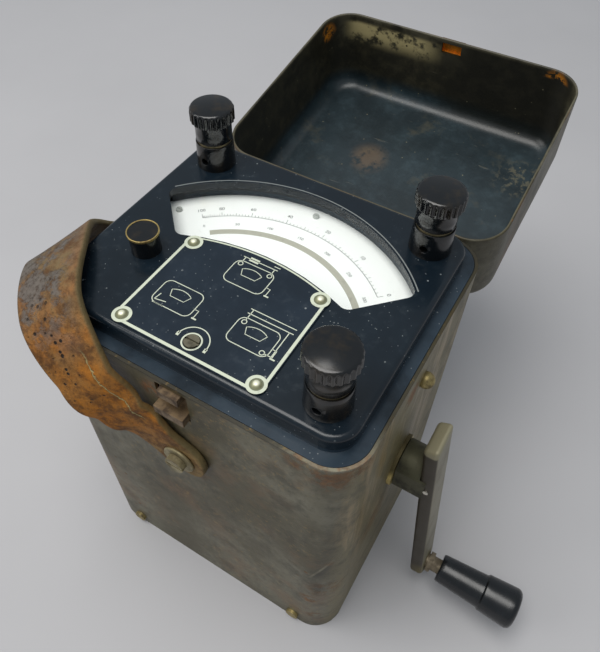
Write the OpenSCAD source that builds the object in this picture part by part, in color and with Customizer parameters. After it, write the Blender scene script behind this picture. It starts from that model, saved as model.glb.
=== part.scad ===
// Hand-cranked insulation tester in a steel carrying case with a hinged lid and a leather strap.
// Millimetres, +Z up. The origin is the middle of the case's underside, and the crank is on +X.

/* [Case] */
// Width of the case along X
case_w = 140; // [130:1:160]
// Depth of the case along Y
case_d = 118; // [110:1:130]
// Height of the case up to the ledge round the panel
case_h = 180; // [170:1:200]
// Thickness of the case sheet
wall = 1.2; // [0.8:0.1:1.6]
// Radius of the case's upright corners
corner_r = 15; // [13:1:18]
// Thickness of the base plate
base_t = 1.5; // [1:0.1:2.5]
// Height of the base plate's turned-up flange
flange_h = 12; // [10:1:16]
// Radius of the base screws
base_screw_r = 1.6; // [1.2:0.1:2]

/* [Panel] */
// Width of the ledge round the raised panel
ledge_w = 6; // [5:0.5:8]
// Height of the raised panel over the ledge
platform_h = 8; // [6:0.5:10]
// Corner radius of the raised panel
platform_r = 10; // [7:0.5:12]
// Rounding of the raised part's top edge
platform_edge = 2; // [1:0.5:3]
// Thickness of the panel moulding
panel_t = 3; // [2.5:0.1:3.5]
// Depth of the panel's skirt inside the case
skirt_h = 24; // [22:1:28]
// Depth of the dial's face under the panel's top
dial_depth = 9; // [8:0.5:10]
// Radius of the scale window's outer edge
window_r = 71; // [68:1:72]
// Width of the name plate
plate_w = 62.6; // [58:0.2:66]
// Depth of the name plate from its front edge to its rear corners
plate_d = 48.3; // [46:0.1:50]

/* [Terminals and button] */
// Diameter of a terminal's knurled head
terminal_d = 18.7; // [16:0.1:20]
// Height of a terminal over the panel
terminal_h = 28.5; // [28:0.5:30]
// Radius of the terminal studs
stud_r = 2.5; // [2:0.1:3]
// Thread pitch of the terminal studs
stud_pitch = 0.7; // [0.5:0.1:1]
// Diameter of the push button
button_d = 11.5; // [10:0.5:14]
// Height of the push button over the panel
button_h = 9.5; // [8:0.5:11]
// Travel of the push button
button_travel = 3; // [2:0.5:3]

/* [Lid] */
// Inner depth of the lid
lid_depth = 47.7; // [46:0.1:54]
// How far the shut lid reaches down over the case
lid_overlap = 10; // [9:0.5:12]
// Gap between the lid and the case
lid_gap = 0.6; // [0.4:0.1:1]
// Angle at which the lid stands open
lid_open = 170; // [160:1:174]
// Distance of the hinge axis behind the case
hinge_out = 6.5; // [6:0.5:9]
// Radius of the hinge knuckles
knuckle_r = 3; // [2.5:0.1:3.2]
// Length of each hinge
hinge_len = 24; // [18:1:26]

/* [Crank] */
// Height of the crank shaft over the base
crank_z = 106; // [100:1:112]
// Radius of the crank shaft
shaft_r = 5; // [4:0.5:6]
// Distance from the shaft to the grip
crank_throw = 86; // [70:1:90]
// Length of the arm past the shaft
arm_top = 32.5; // [28:0.5:40]
// Width of the crank arm
arm_w = 16.5; // [15:0.5:18]
// Thickness of the crank arm
arm_t = 6.4; // [5:0.2:8]
// Lean of the crank arm away from the case
arm_lean = 6.3; // [0:0.1:8]
// Length of the grip
grip_len = 41; // [36:1:50]
// Largest diameter of the grip
grip_d = 20.5; // [18:0.5:22]

/* [Strap] */
// Width of the leather strap
strap_w = 28; // [24:1:32]
// Thickness of the leather
strap_t = 3.2; // [2.8:0.2:4.6]
// Distance of the strap studs below the ledge
strap_drop = 46; // [42:1:50]

/* [Gear train] */
// Gear module
gear_m = 1; // [0.9:0.05:1]
// Teeth of the crank's gear
main_teeth = 60; // [50:1:60]
// Teeth of the layshaft's pinion
lay_pinion_teeth = 15; // [14:1:15]
// Teeth of the layshaft's gear
lay_gear_teeth = 48; // [44:1:48]
// Teeth of the rotor's pinion
rotor_pinion_teeth = 12; // [12:1:14]

/* [Hidden] */
$fn = 64;
facet_fn = 32;
run = 0.05;
seat = 0.02;
clear = 0.3;
slip = 0.2;
eps = 0.01;

half_w = case_w / 2;
half_d = case_d / 2;
panel_z = case_h + platform_h;
under_z = panel_z - panel_t;
skirt_t = 2.5;
flange_t = 4;

// Panel layout, measured from the panel's middle and its edges
terminal_x = half_w - 19.5;
terminal_rear_y = half_d - 18;
terminal_front_y = -(half_d - 18.7);
terminals = [[-terminal_x, terminal_rear_y], [terminal_x, terminal_rear_y], [terminal_x, terminal_front_y]];
button_at = [-(half_w - 28), -17.3];
zero_at = [0, -(half_d - 14.4)];
pivot_y = -28;
plate_front_y = -(half_d - 8.2);
rivet_inset = 3.2;
plate_arc_r = 91;
window_corner_r = 4;
window_half_angle = 53;
window_foot = [39, -3.6];
window_rim = 2;
dial_wall_t = 1.4;
dial_wall_turn = 52;
rivet_r = 1.9;
rivet_shank_r = 1.2;
plate_t = 0.8;

// Dial and meter, hung under the panel
dial_t = 1.2;
dial_z = panel_z - dial_depth;
glass_t = 2;
meter_plate_t = 2;
meter_z = case_h - 28;
dial_screw_in = 4;
dial_screw_turn = 50.9;
dial_screw_r = window_r - dial_screw_in;
dial_screws_at = [
    [-dial_screw_r * sin(dial_screw_turn), pivot_y + dial_screw_r * cos(dial_screw_turn)],
    [0, pivot_y + window_r - 2]
];
post_r = 3;
pillar_r = 3.5;
pillars_at = [[-(half_w - 13), -25], [half_w - 13, -25],
              [-(half_w - 13), half_d - 12], [half_w - 13, half_d - 12]];
gap_r = 13;
core_r = 9.5;
magnet_h = 18;
magnet_d = 38;
magnet_gap = 6.25;
coil_h = 17;
bridge_t = 2;
pointer_r = 62;
pointer_rest = 58;
pointer_z = dial_z + 2;

// Terminals
base_h = 12;
washer_t = 0.8;
cap_skirt_h = 8.6;
head_r = terminal_d / 2;
skirt_r = head_r - 1.6;
cap_z = panel_z + base_h + washer_t + run;
cap_top = panel_z + terminal_h;
knurls = 24;
knurl_r = 0.9;
plug_r = 1.6;

// Button
button_r = button_d / 2;
ring_t = 0.55;
ring_h = 1.1;
button_flange_t = 2.5;
contact_rim = 2;
magnet_w = 2 * (abs(button_at[0]) - button_r - contact_rim - magnet_gap);
spring_foot = meter_z + 6;
spring_r = 5.5;

// Lid and hinges
lid_gap_w = lid_gap + wall;
lid_w = case_w + 2 * lid_gap_w;
lid_d = case_d + 2 * lid_gap_w;
lid_r = corner_r + lid_gap_w;
lid_edge_r = 9;
rim_z = case_h - lid_overlap;
hinge_y = half_d + hinge_out;
hinge_z = rim_z;
pin_r = 1.5;
leaf_t = 1.2;
leaf_h = 9;
hinges_x = [-25, 25];
knuckle_share = 3;
catch_w = 13;
nose_w = 9;

// Crank and generator train along X, all in the plane y = crank_y
crank_y = -4;
bush_flange_r = 12;
bush_flange_t = 1.5;
bush_r = shaft_r + 4;
hub_r = 11;
hub_w = 18;
arm_x = half_w + 13.2;
arm_end_slope = 21;
arm_end_r = 2.5;
cross_pin_r = 1.2;
spindle_r = 3.8;
plate_gap_out = 10;
frame_t = 2.5;
frame_out_x = half_w - plate_gap_out - frame_t;
frame_in_x = 12;
frame_w = 84;
frame_top = meter_z - 12;
frame_pillar_r = 4;
lay_r = 4;
rotor_r = 4;
lay_z = crank_z - gear_m * (main_teeth + lay_pinion_teeth) / 2;
rotor_z = lay_z - gear_m * (lay_gear_teeth + rotor_pinion_teeth) / 2;
main_gear_x = frame_out_x - 11.5;
lay_gear_x = frame_in_x + 12;
gear_t = 6;
pinion_over = 1;
backlash = 0.16;
pressure = 20;
armature_r = 17;
armature_len = 46;
armature_x = -(half_w - 24);
air_gap = 0.6;
end_plate_x = -(half_w - 10);
shoe_w = 24;
magnet_t = 8;
commutator_r = 8;
bush_wall = 2.2;

// Strap
strap_z = case_h - strap_drop;
strap_stud_r = 3;
tongue_w = strap_w - 5;
strap_lift = 0.3;
strap_washer_t = 1.2;
strap_head_t = 2.6;
front_y = -(half_d + strap_lift + strap_t / 2);
rear_y = -front_y;
tongue_tilt = 37;
tongue_len = 13;
// Route of the leather between the studs: x, y, z and the lean of its width towards the case
strap_route = [
    [-9, front_y - 0.8, strap_z + 7.5, -5],
    [-15, front_y - 2.2, strap_z + 14, -7],
    [-22, front_y - 5.2, strap_z + 22, 2],
    [-33, -(half_d + 8.5), panel_z - 17.5, 29],
    [-(half_w - 19), -half_d, panel_z + 0.4, 57],
    [-(half_w - 1.5), -(half_d - 21.5), panel_z + 1.5, 65],
    [-(half_w + 11), -20, panel_z - 13.5, 48],
    [-(half_w + 14.5), -2, panel_z - 32.5, 22],
    [-(half_w + 15), 18, panel_z - 41, 14],
    [-(half_w + 11), half_d - 16, panel_z - 44, 10],
    [-(half_w - 4), half_d + 2.5, panel_z - 46, 4],
    [-(half_w - 24), rear_y + 1.4, strap_z + 5, 0],
    [-(half_w - 46), rear_y + 1.2, strap_z + 1, 0],
    [-(half_w - 59), rear_y + 0.3, strap_z, 0]
];
strap_steps = 4;

// A rectangle with round corners
module rounded_rect(w, d, r) {
    square([w - 2 * r, d], center = true);
    square([w, d - 2 * r], center = true);
    for (x = [-1, 1], y = [-1, 1])
        translate([x * (w / 2 - r), y * (d / 2 - r)]) circle(r);
}

// A cylinder that runs along X from x = a to x = b
module rod_x(r, a, b) {
    translate([a, 0, 0]) rotate([0, 90, 0]) cylinder(r = r, h = b - a);
}

// A cylinder that runs along Y from y = a to y = b
module rod_y(r, a, b) {
    translate([0, a, 0]) rotate([-90, 0, 0]) cylinder(r = r, h = b - a);
}

// A tube that stands on z = 0
module tube(r_out, r_in, h) {
    difference() {
        cylinder(r = r_out, h = h);
        translate([0, 0, -1]) cylinder(r = r_in, h = h + 2);
    }
}

// Places its child at the shaft centre that lies at height z
module on_shaft(z) {
    translate([0, crank_y, z]) children();
}

// Scale window, grown by an even margin
module window_2d(grow = 0) {
    reach = 2 * window_r;
    offset(r = grow) offset(r = window_corner_r) offset(delta = -window_corner_r)
        difference() {
            translate([0, pivot_y]) circle(window_r);
            translate([0, plate_rear_arc_y()]) circle(plate_arc_r);
            for (side = [-1, 1]) polygon([
                [side * window_foot[0], window_foot[1]],
                [side * window_r * sin(window_half_angle), pivot_y + window_r * cos(window_half_angle)],
                [side * reach, pivot_y + reach * cos(window_half_angle)],
                [side * reach, -reach],
                [0, -reach]
            ]);
        }
}

// Centre of the arc that the name plate's rear edge and the window's front edge share
function plate_rear_arc_y() = plate_front_y + plate_d - sqrt(pow(plate_arc_r, 2) - pow(plate_w / 2, 2));

// Name plate with its arched rear edge
module plate_2d() {
    offset(r = 3) offset(delta = -3) intersection() {
        translate([-plate_w / 2, plate_front_y]) square([plate_w, case_d]);
        translate([0, plate_rear_arc_y()]) circle(plate_arc_r - 0.6);
    }
}

rivets_at = [for (x = [-1, 1], y = [plate_front_y + rivet_inset, plate_front_y + plate_d - rivet_inset])
    [x * (plate_w / 2 - rivet_inset), y]];

// Involute gear outline: each flank follows the involute of the base circle
function inv(a) = tan(a) * 180 / PI - a;
function flank(teeth, r) =
    let (pitch = gear_m * teeth / 2, base = pitch * cos(pressure),
         half = 90 / teeth - backlash / pitch * 90 / PI)
    half + inv(pressure) - inv(acos(min(1, base / max(r, base))));
function gear_points(teeth) =
    let (pitch = gear_m * teeth / 2, base = pitch * cos(pressure), tip = pitch + 0.9 * gear_m,
         root = pitch - 1.15 * gear_m, start = max(base, root + 0.05),
         radii = [root, start, start + (tip - start) * 0.35, start + (tip - start) * 0.7, tip])
    [for (k = [0 : teeth - 1]) each concat(
        [for (r = radii) polar(r, 360 * k / teeth - flank(teeth, r))],
        [for (i = [len(radii) - 1 : -1 : 0]) polar(radii[i], 360 * k / teeth + flank(teeth, radii[i]))])];
function polar(r, a) = [r * cos(a), r * sin(a)];

// A gear on a shaft along X, with its first tooth at the given angle in the YZ plane
module gear_x(teeth, x, t, first) {
    translate([x, 0, 0]) rotate([90, 0, 90]) rotate(first)
        linear_extrude(t) polygon(gear_points(teeth));
}

// Case
module case_shell() {
    color([0.27, 0.23, 0.17]) difference() {
        linear_extrude(case_h) rounded_rect(case_w, case_d, corner_r);
        translate([0, 0, -1]) linear_extrude(case_h + 2)
            rounded_rect(case_w - 2 * wall, case_d - 2 * wall, corner_r - wall);
        translate([0, crank_y, crank_z]) rod_x(bush_r + seat, half_w - 5, half_w + 5);
        panel_screw_places() rod_x(panel_screw_r + seat, -6, 6);
        base_screw_places() rod_y(base_screw_r + seat, -6, 6);
        for (y = [-1, 1]) translate([0, y * half_d, strap_z]) rod_y(strap_stud_r + seat, -6, 6);
        translate([0, -half_d, 0]) catch_window();
    }
}

panel_screw_r = 2;
module panel_screw_places() {
    for (x = [-1, 1]) translate([x * half_w, 0, rim_z - 6.5]) children();
}

module base_screw_places() {
    for (x = [-1, 1], y = [-1, 1])
        translate([x * (half_w - 20), y * half_d, base_t + flange_h / 2 - 1]) children();
}

module catch_window() {
    translate([-catch_w / 2 - clear, -3, rim_z - 7.5])
        cube([catch_w + 2 * clear, 6, 7.5 + lid_overlap - 2]);
}

module base_plate() {
    gap = wall + slip;
    color([0.3, 0.28, 0.24]) difference() {
        linear_extrude(base_t + flange_h)
            rounded_rect(case_w - 2 * gap, case_d - 2 * gap, corner_r - gap);
        translate([0, 0, base_t]) linear_extrude(flange_h + 1)
            rounded_rect(case_w - 2 * gap - 2 * base_t, case_d - 2 * gap - 2 * base_t, corner_r - gap - base_t);
        base_screw_places() rod_y(base_screw_r + seat, -6, 6);
    }
}

module base_screws() {
    inner = wall + slip + base_t + 2;
    color([0.5, 0.44, 0.33]) for (y = [-1, 1])
        difference() {
            intersection() {
                base_screw_places() mirror([0, y < 0 ? 1 : 0, 0]) {
                    rod_y(base_screw_r, -inner, 0);
                    rod_y(base_screw_r + 1.7, 0, 1.6);
                }
                translate([-case_w, y < 0 ? -case_d : 0, 0]) cube([2 * case_w, case_d, case_h]);
            }
            base_screw_places() mirror([0, y < 0 ? 1 : 0, 0])
                translate([-5, 1, -0.4]) cube([10, 5, 0.8]);
        }
}

// Top panel: ledge, raised platform, skirt and the pillars that carry the meter
module top_panel() {
    gap = wall + slip;
    color([0.05, 0.055, 0.07]) difference() {
        union() {
            difference() {
                union() {
                    translate([0, 0, case_h - skirt_h]) linear_extrude(skirt_h)
                        rounded_rect(case_w - 2 * gap, case_d - 2 * gap, corner_r - gap);
                    translate([0, 0, case_h - eps]) soft_block(case_w - 2 * ledge_w, case_d - 2 * ledge_w,
                        platform_h + eps, platform_r, platform_edge);
                }
                translate([0, 0, case_h - skirt_h - 1]) linear_extrude(skirt_h - flange_t + 1)
                    rounded_rect(case_w - 2 * gap - 2 * skirt_t, case_d - 2 * gap - 2 * skirt_t,
                                 corner_r - gap - skirt_t);
                translate([0, 0, case_h - flange_t - 1]) linear_extrude(under_z - case_h + flange_t + 1)
                    rounded_rect(case_w - 2 * ledge_w - 2 * panel_t, case_d - 2 * ledge_w - 2 * panel_t,
                                 platform_r - panel_t);
            }
            for (p = pillars_at) translate([p[0], p[1], meter_z]) cylinder(r = pillar_r, h = under_z - meter_z + eps);
            dial_wall();
        }
        translate([0, 0, under_z - 1]) linear_extrude(panel_t + 2) window_2d();
        for (p = terminals) translate([p[0], p[1], under_z - 1]) cylinder(r = stud_r + seat, h = panel_t + 2);
        for (p = rivets_at) translate([p[0], p[1], under_z - 1]) cylinder(r = rivet_shank_r + seat, h = panel_t + 2);
        translate([button_at[0], button_at[1], under_z - 1]) cylinder(r = button_r + run, h = panel_t + 2);
        translate([zero_at[0], zero_at[1], under_z - 1]) cylinder(r = zero_r + run, h = panel_t + 2);
        panel_screw_places() rod_x(panel_screw_r + seat, -8, 8);
        translate([-catch_w / 2 - 2, -half_d, case_h - skirt_h - 1])
            cube([catch_w + 4, wall + slip + skirt_t + 3.5, skirt_h - 0.5]);
    }
}

// Outline of a block's rounded edge, out from the centre of its corner
module edge_2d(h, r, edge) {
    difference() {
        square([r, h]);
        translate([r - edge, h - edge]) difference() {
            square(edge + 1);
            circle(edge);
        }
    }
}

// A block on z = 0 with upright corners of radius r and a rounded top edge
module soft_block(w, d, h, r, edge) {
    a = w / 2 - r;
    b = d / 2 - r;
    translate([-a, -b, 0]) cube([2 * a, 2 * b, h]);
    for (turn = [0, 180]) rotate(turn) {
        translate([a, b, 0]) rotate([90, 0, 0]) linear_extrude(2 * b) edge_2d(h, r, edge);
        rotate(90) translate([b, a, 0]) rotate([90, 0, 0]) linear_extrude(2 * a) edge_2d(h, r, edge);
        translate([a, b, 0]) rotate_extrude(angle = 90) edge_2d(h, r, edge);
        translate([-a, b, 0]) rotate(90) rotate_extrude(angle = 90) edge_2d(h, r, edge);
    }
}

// Wall between the panel and the dial along the window's rear arc
module dial_wall() {
    r = window_r + window_rim + seat;
    translate([0, pivot_y, dial_z + clear]) rotate(90 - dial_wall_turn) rotate_extrude(angle = 2 * dial_wall_turn)
        translate([r, 0]) square([dial_wall_t, under_z - dial_z - clear + eps]);
}

module panel_screws() {
    inner = wall + slip + skirt_t;
    head_h = 4.5;
    color([0.62, 0.48, 0.22]) for (side = [-1, 1])
        intersection() {
            panel_screw_places() {
                rod_x(panel_screw_r, -inner, inner);
                rotate([0, side * 90, 0]) rotate_extrude() intersection() {
                    translate([0, head_h - 3.4]) circle(3.4);
                    square([3.4, head_h]);
                }
            }
            translate([side > 0 ? half_w - inner : -case_w, -half_d, 0]) cube([case_w - half_w + inner, case_d, case_h]);
        }
}

module window_glass() {
    color([0.8, 0.88, 0.88, 0.3]) translate([0, 0, under_z - glass_t]) linear_extrude(glass_t) window_2d(window_rim);
}

module dial_plate() {
    color([0.93, 0.93, 0.9]) difference() {
        translate([0, 0, dial_z - dial_t]) linear_extrude(dial_t) window_2d(window_rim + 1.5);
        for (p = dial_screws_at) translate([p[0], p[1], 0]) cylinder(r = 1 + seat, h = panel_z);
    }
}

module dial_screws() {
    color([0.55, 0.55, 0.55]) for (p = dial_screws_at) translate([p[0], p[1], 0]) difference() {
        union() {
            translate([0, 0, dial_z - 6]) cylinder(r = 1, h = 6 + eps);
            translate([0, 0, dial_z]) cylinder(r = 1.4, h = 1);
        }
        translate([-3, -0.25, dial_z + 0.6]) cube([6, 0.5, 1]);
    }
}

module name_plate() {
    color([0.06, 0.08, 0.12]) difference() {
        translate([0, 0, panel_z]) linear_extrude(plate_t) plate_2d();
        for (p = rivets_at) translate([p[0], p[1], panel_z - 1]) cylinder(r = rivet_shank_r + seat, h = plate_t + 2);
        translate([zero_at[0], zero_at[1], panel_z - 1]) cylinder(r = zero_head_r + clear, h = plate_t + 2);
    }
}

module name_plate_rivets() {
    head_h = 1.3;
    ball = (pow(rivet_r, 2) + pow(head_h, 2)) / (2 * head_h);
    color([0.8, 0.78, 0.6]) for (p = rivets_at) translate([p[0], p[1], panel_z + plate_t]) {
        translate([0, 0, -plate_t - panel_t]) cylinder(r = rivet_shank_r, h = plate_t + panel_t + eps);
        rotate_extrude() intersection() {
            translate([0, head_h - ball]) circle(ball);
            square([rivet_r, head_h]);
        }
    }
}

// Terminals
module terminal_bases() {
    color([0.07, 0.06, 0.05]) for (p = terminals) translate([p[0], p[1], panel_z]) difference() {
        cylinder(r1 = head_r - 1, r2 = head_r - 1.35, h = base_h);
        translate([0, 0, -1]) cylinder(r = stud_r + seat, h = base_h + 2);
        translate([0, 0, base_h * 0.4]) rod_y(plug_r, -head_r - 1, 0);
    }
}

module terminal_studs() {
    nut_h = 4;
    color([0.7, 0.56, 0.28]) for (p = terminals) translate([p[0], p[1], 0]) {
        translate([0, 0, under_z - 8]) cylinder(r = stud_r, h = cap_top - 4.5 - under_z + 8);
        translate([0, 0, under_z - nut_h]) difference() {
            cylinder(r = 2.1 * stud_r, h = nut_h, $fn = 6);
            translate([0, 0, -1]) cylinder(r = stud_r + seat, h = nut_h + 2);
        }
    }
}

module terminal_washer(i) {
    color([0.7, 0.56, 0.28]) translate([terminals[i][0], terminals[i][1], panel_z + base_h])
        tube(skirt_r - 0.5, stud_r + run, washer_t);
}

module terminal_cap(i) {
    dome_h = 0.5;
    dome_r = (pow(head_r, 2) + pow(dome_h, 2)) / (2 * dome_h);
    edge = 0.8;
    head_z = cap_z + cap_skirt_h;
    head_h = cap_top - head_z;
    color([0.05, 0.045, 0.04]) translate([terminals[i][0], terminals[i][1], 0]) difference() {
        union() {
            translate([0, 0, cap_z]) cylinder(r = skirt_r, h = head_z - cap_z + eps);
            translate([0, 0, head_z]) rotate_extrude() intersection() {
                union() {
                    square([head_r - edge, head_h]);
                    square([head_r, head_h - edge]);
                    translate([head_r - edge, head_h - edge]) circle(edge);
                }
                translate([0, head_h - dome_r]) circle(dome_r);
            }
        }
        translate([0, 0, cap_z - 1]) cylinder(r = stud_r + run, h = cap_top - 3 - cap_z + 1);
        for (k = [0 : knurls - 1]) rotate(k * 360 / knurls) translate([head_r + 0.35, 0, head_z - 1])
            cylinder(r = knurl_r, h = terminal_h, $fn = 24);
    }
}

module terminal_washer_1() { terminal_washer(0); }
module terminal_washer_2() { terminal_washer(1); }
module terminal_washer_3() { terminal_washer(2); }
module terminal_cap_1() { terminal_cap(0); }
module terminal_cap_2() { terminal_cap(1); }
module terminal_cap_3() { terminal_cap(2); }

// Push button with its ring, spring and contacts
module push_button() {
    flange_z = under_z - clear - button_flange_t;
    color([0.06, 0.05, 0.05]) translate([button_at[0], button_at[1], 0]) {
        translate([0, 0, flange_z]) cylinder(r = button_r + 1.7, h = button_flange_t);
        translate([0, 0, flange_z]) cylinder(r = button_r, h = panel_z + button_h - ring_h - flange_z);
        translate([0, 0, panel_z + button_h - ring_h - eps]) cylinder(r = button_r, h = ring_h - 0.3 + eps);
        translate([0, 0, flange_z - 10]) cylinder(r = 2, h = 10 + eps);
    }
}

module button_ring() {
    color([0.68, 0.52, 0.25]) translate([button_at[0], button_at[1], panel_z + button_h - ring_h])
        tube(button_r + ring_t, button_r + seat, ring_h);
}

module button_spring() {
    foot = spring_foot + seat;
    color([0.6, 0.6, 0.6]) translate([button_at[0], button_at[1], foot])
        tube(spring_r, spring_r - 1, under_z - clear - button_flange_t - seat - foot);
}

module button_contacts() {
    color([0.45, 0.25, 0.12]) translate([button_at[0], button_at[1], meter_z]) {
        cylinder(r = button_r + contact_rim, h = spring_foot - meter_z);
        for (x = [-1, 1]) translate([x * (button_r + 0.6) - 0.4, -3, spring_foot - meter_z - eps]) cube([0.8, 6, 12]);
    }
}

// Zero adjuster: a slotted screw in the name plate
zero_r = 2;
zero_head_r = 2.8;
module zero_adjuster() {
    color([0.4, 0.38, 0.33]) translate([zero_at[0], zero_at[1], 0]) difference() {
        union() {
            translate([0, 0, under_z - 1.8]) cylinder(r = zero_r + 1.2, h = 1.6);
            translate([0, 0, under_z - 1]) cylinder(r = zero_r, h = panel_t + 1 + clear);
            translate([0, 0, panel_z + slip]) cylinder(r = zero_head_r, h = plate_t + 0.4);
        }
        translate([-5, -0.45, panel_z + slip + 0.4]) cube([10, 0.9, 3]);
    }
}

// Meter under the panel
module meter_plate() {
    color([0.6, 0.6, 0.58]) difference() {
        union() {
            translate([0, 0, meter_z - meter_plate_t]) linear_extrude(meter_plate_t)
                rounded_rect(case_w - 18, case_d - 16, 8);
            for (p = dial_screws_at) translate([p[0], p[1], meter_z - eps])
                cylinder(r = post_r, h = dial_z - dial_t - meter_z + eps);
        }
        for (p = dial_screws_at) translate([p[0], p[1], dial_z - dial_t - 7]) cylinder(r = 1 + seat, h = 20);
        translate([0, pivot_y, meter_z - 1]) cylinder(r = 1, h = 5);
    }
}

module meter_magnet() {
    color([0.32, 0.33, 0.35]) translate([0, pivot_y, meter_z]) difference() {
        linear_extrude(magnet_h) rounded_rect(magnet_w, magnet_d, 4);
        translate([0, 0, -1]) cylinder(r = gap_r, h = magnet_h + 2);
    }
}

module meter_core() {
    web_w = 5;
    color([0.65, 0.55, 0.35]) translate([0, pivot_y, meter_z]) {
        translate([0, 0, 4]) difference() {
            union() {
                cylinder(r = core_r, h = magnet_h - 7);
                intersection() {
                    translate([-web_w / 2, -gap_r, 2]) cube([web_w, 2 * gap_r, magnet_h - 11]);
                    cylinder(r = gap_r, h = magnet_h);
                }
            }
            translate([0, 0, -1]) cylinder(r = 1.5, h = magnet_h);
        }
        for (x = [-1, 1]) translate([x * (magnet_w / 2 - 6), 0, magnet_h]) cylinder(r = 3, h = 3);
        translate([0, 0, magnet_h + 3]) difference() {
            linear_extrude(bridge_t) rounded_rect(magnet_w - 4, 8, 3);
            translate([0, 0, -1]) cylinder(r = 1, h = bridge_t + 2);
        }
    }
}

module meter_coil() {
    color([0.6, 0.32, 0.15]) translate([0, pivot_y, meter_z]) rotate(pointer_rest) {
        difference() {
            translate([-gap_r + 0.8, -2, 1.2]) cube([2 * gap_r - 1.6, 4, coil_h]);
            translate([-core_r - 0.6, -3, 2.8]) cube([2 * core_r + 1.2, 6, coil_h - 3.2]);
        }
        translate([0, 0, 0.2]) cylinder(r = 0.8, h = 1.2);
        translate([0, 0, coil_h + 1]) cylinder(r = 0.8, h = pointer_z - meter_z - coil_h - 1 + eps);
    }
}

module pointer() {
    hub_h = 1;
    color([0.1, 0.1, 0.1]) translate([0, pivot_y, pointer_z]) rotate(pointer_rest) {
        cylinder(r = 3, h = hub_h);
        translate([-0.4, 0, 0.2]) cube([0.8, pointer_r, 0.6]);
        translate([-1.5, -12, 0.1]) cube([3, 12, 0.8]);
    }
}

module resistor_spools() {
    len = 26;
    color([0.35, 0.2, 0.1]) for (y = [-21, 21])
        translate([frame_in_x - len, crank_y + y, crank_z + 8]) rotate([0, 90, 0]) {
            cylinder(r = 10, h = 2);
            cylinder(r = 7.5, h = len);
            translate([0, 0, len - 2]) cylinder(r = 10, h = 2);
        }
}

// Lid and hinges, drawn shut and then swung open
module swing_open() {
    translate([0, hinge_y, hinge_z]) rotate([-lid_open, 0, 0]) translate([0, -hinge_y, -hinge_z]) children();
}

// A tray turned over: upright corners of radius r, and a top edge rounded by edge
module tray(w, d, h, r, edge) {
    hull() for (x = [-1, 1], y = [-1, 1])
        translate([x * (w / 2 - r), y * (d / 2 - r), 0]) rotate_extrude($fn = facet_fn)
            polygon(concat([[0, 0], [r, 0]],
                [for (a = [0 : 15 : 90]) [r - edge + edge * cos(a), h - edge + edge * sin(a)]], [[0, h]]));
}

module lid_shell() {
    color([0.2, 0.18, 0.13]) swing_open() difference() {
        translate([0, 0, rim_z]) tray(lid_w, lid_d, lid_depth + wall, lid_r, lid_edge_r);
        translate([0, 0, rim_z - eps]) tray(lid_w - 2 * wall, lid_d - 2 * wall, lid_depth + eps, lid_r - wall, lid_edge_r - wall);
        translate([-nose_w / 2 - 1, -lid_d / 2 - 2, rim_z + 2.5]) cube([nose_w + 2, 6, 6]);
    }
}

// One knuckle of a hinge at x, from share a to share b of its length
module knuckle(x, a, b, bore) {
    translate([x - hinge_len / 2, hinge_y, hinge_z]) difference() {
        rod_x(knuckle_r, a * hinge_len, b * hinge_len);
        rod_x(bore, a * hinge_len - 1, b * hinge_len + 1);
    }
}

module case_hinge_leaves() {
    third = 1 / knuckle_share;
    color([0.35, 0.32, 0.27]) for (x = hinges_x) {
        for (s = [[0, third], [1 - third, 1]]) {
            knuckle(x, s[0], s[1], pin_r + seat);
            difference() {
                translate([x - hinge_len / 2 + s[0] * hinge_len, half_d, hinge_z - knuckle_r])
                    cube([(s[1] - s[0]) * hinge_len, hinge_out, leaf_t]);
                translate([x, hinge_y, hinge_z]) rod_x(pin_r + seat, -hinge_len, hinge_len);
            }
        }
        translate([x - hinge_len / 2, half_d, hinge_z - knuckle_r - leaf_h]) cube([hinge_len, leaf_t, leaf_h + leaf_t]);
    }
}

module hinge_pins() {
    color([0.5, 0.5, 0.48]) for (x = hinges_x) translate([x, hinge_y, hinge_z])
        rod_x(pin_r, -hinge_len / 2 - 0.8, hinge_len / 2 + 0.8);
}

module lid_hinge_leaves() {
    third = 1 / knuckle_share;
    y = lid_d / 2;
    mid = hinge_len * (1 - 2 * third) - 2 * clear;
    color([0.35, 0.32, 0.27]) swing_open() for (x = hinges_x) {
        knuckle(x, third + clear / hinge_len, 1 - third - clear / hinge_len, pin_r + run);
        difference() {
            translate([x - mid / 2, y, hinge_z + knuckle_r - leaf_t]) cube([mid, hinge_y - y, leaf_t]);
            translate([x, hinge_y, hinge_z]) rod_x(pin_r + run, -hinge_len, hinge_len);
        }
        translate([x - hinge_len / 2, y, hinge_z + knuckle_r - leaf_t]) cube([hinge_len, leaf_t, leaf_h]);
        for (side = [-1, 1]) translate([x + side * hinge_len / 4, y + leaf_t, hinge_z + knuckle_r + leaf_h / 2])
            rod_y(1.8, -eps, 0.9);
    }
}

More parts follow.
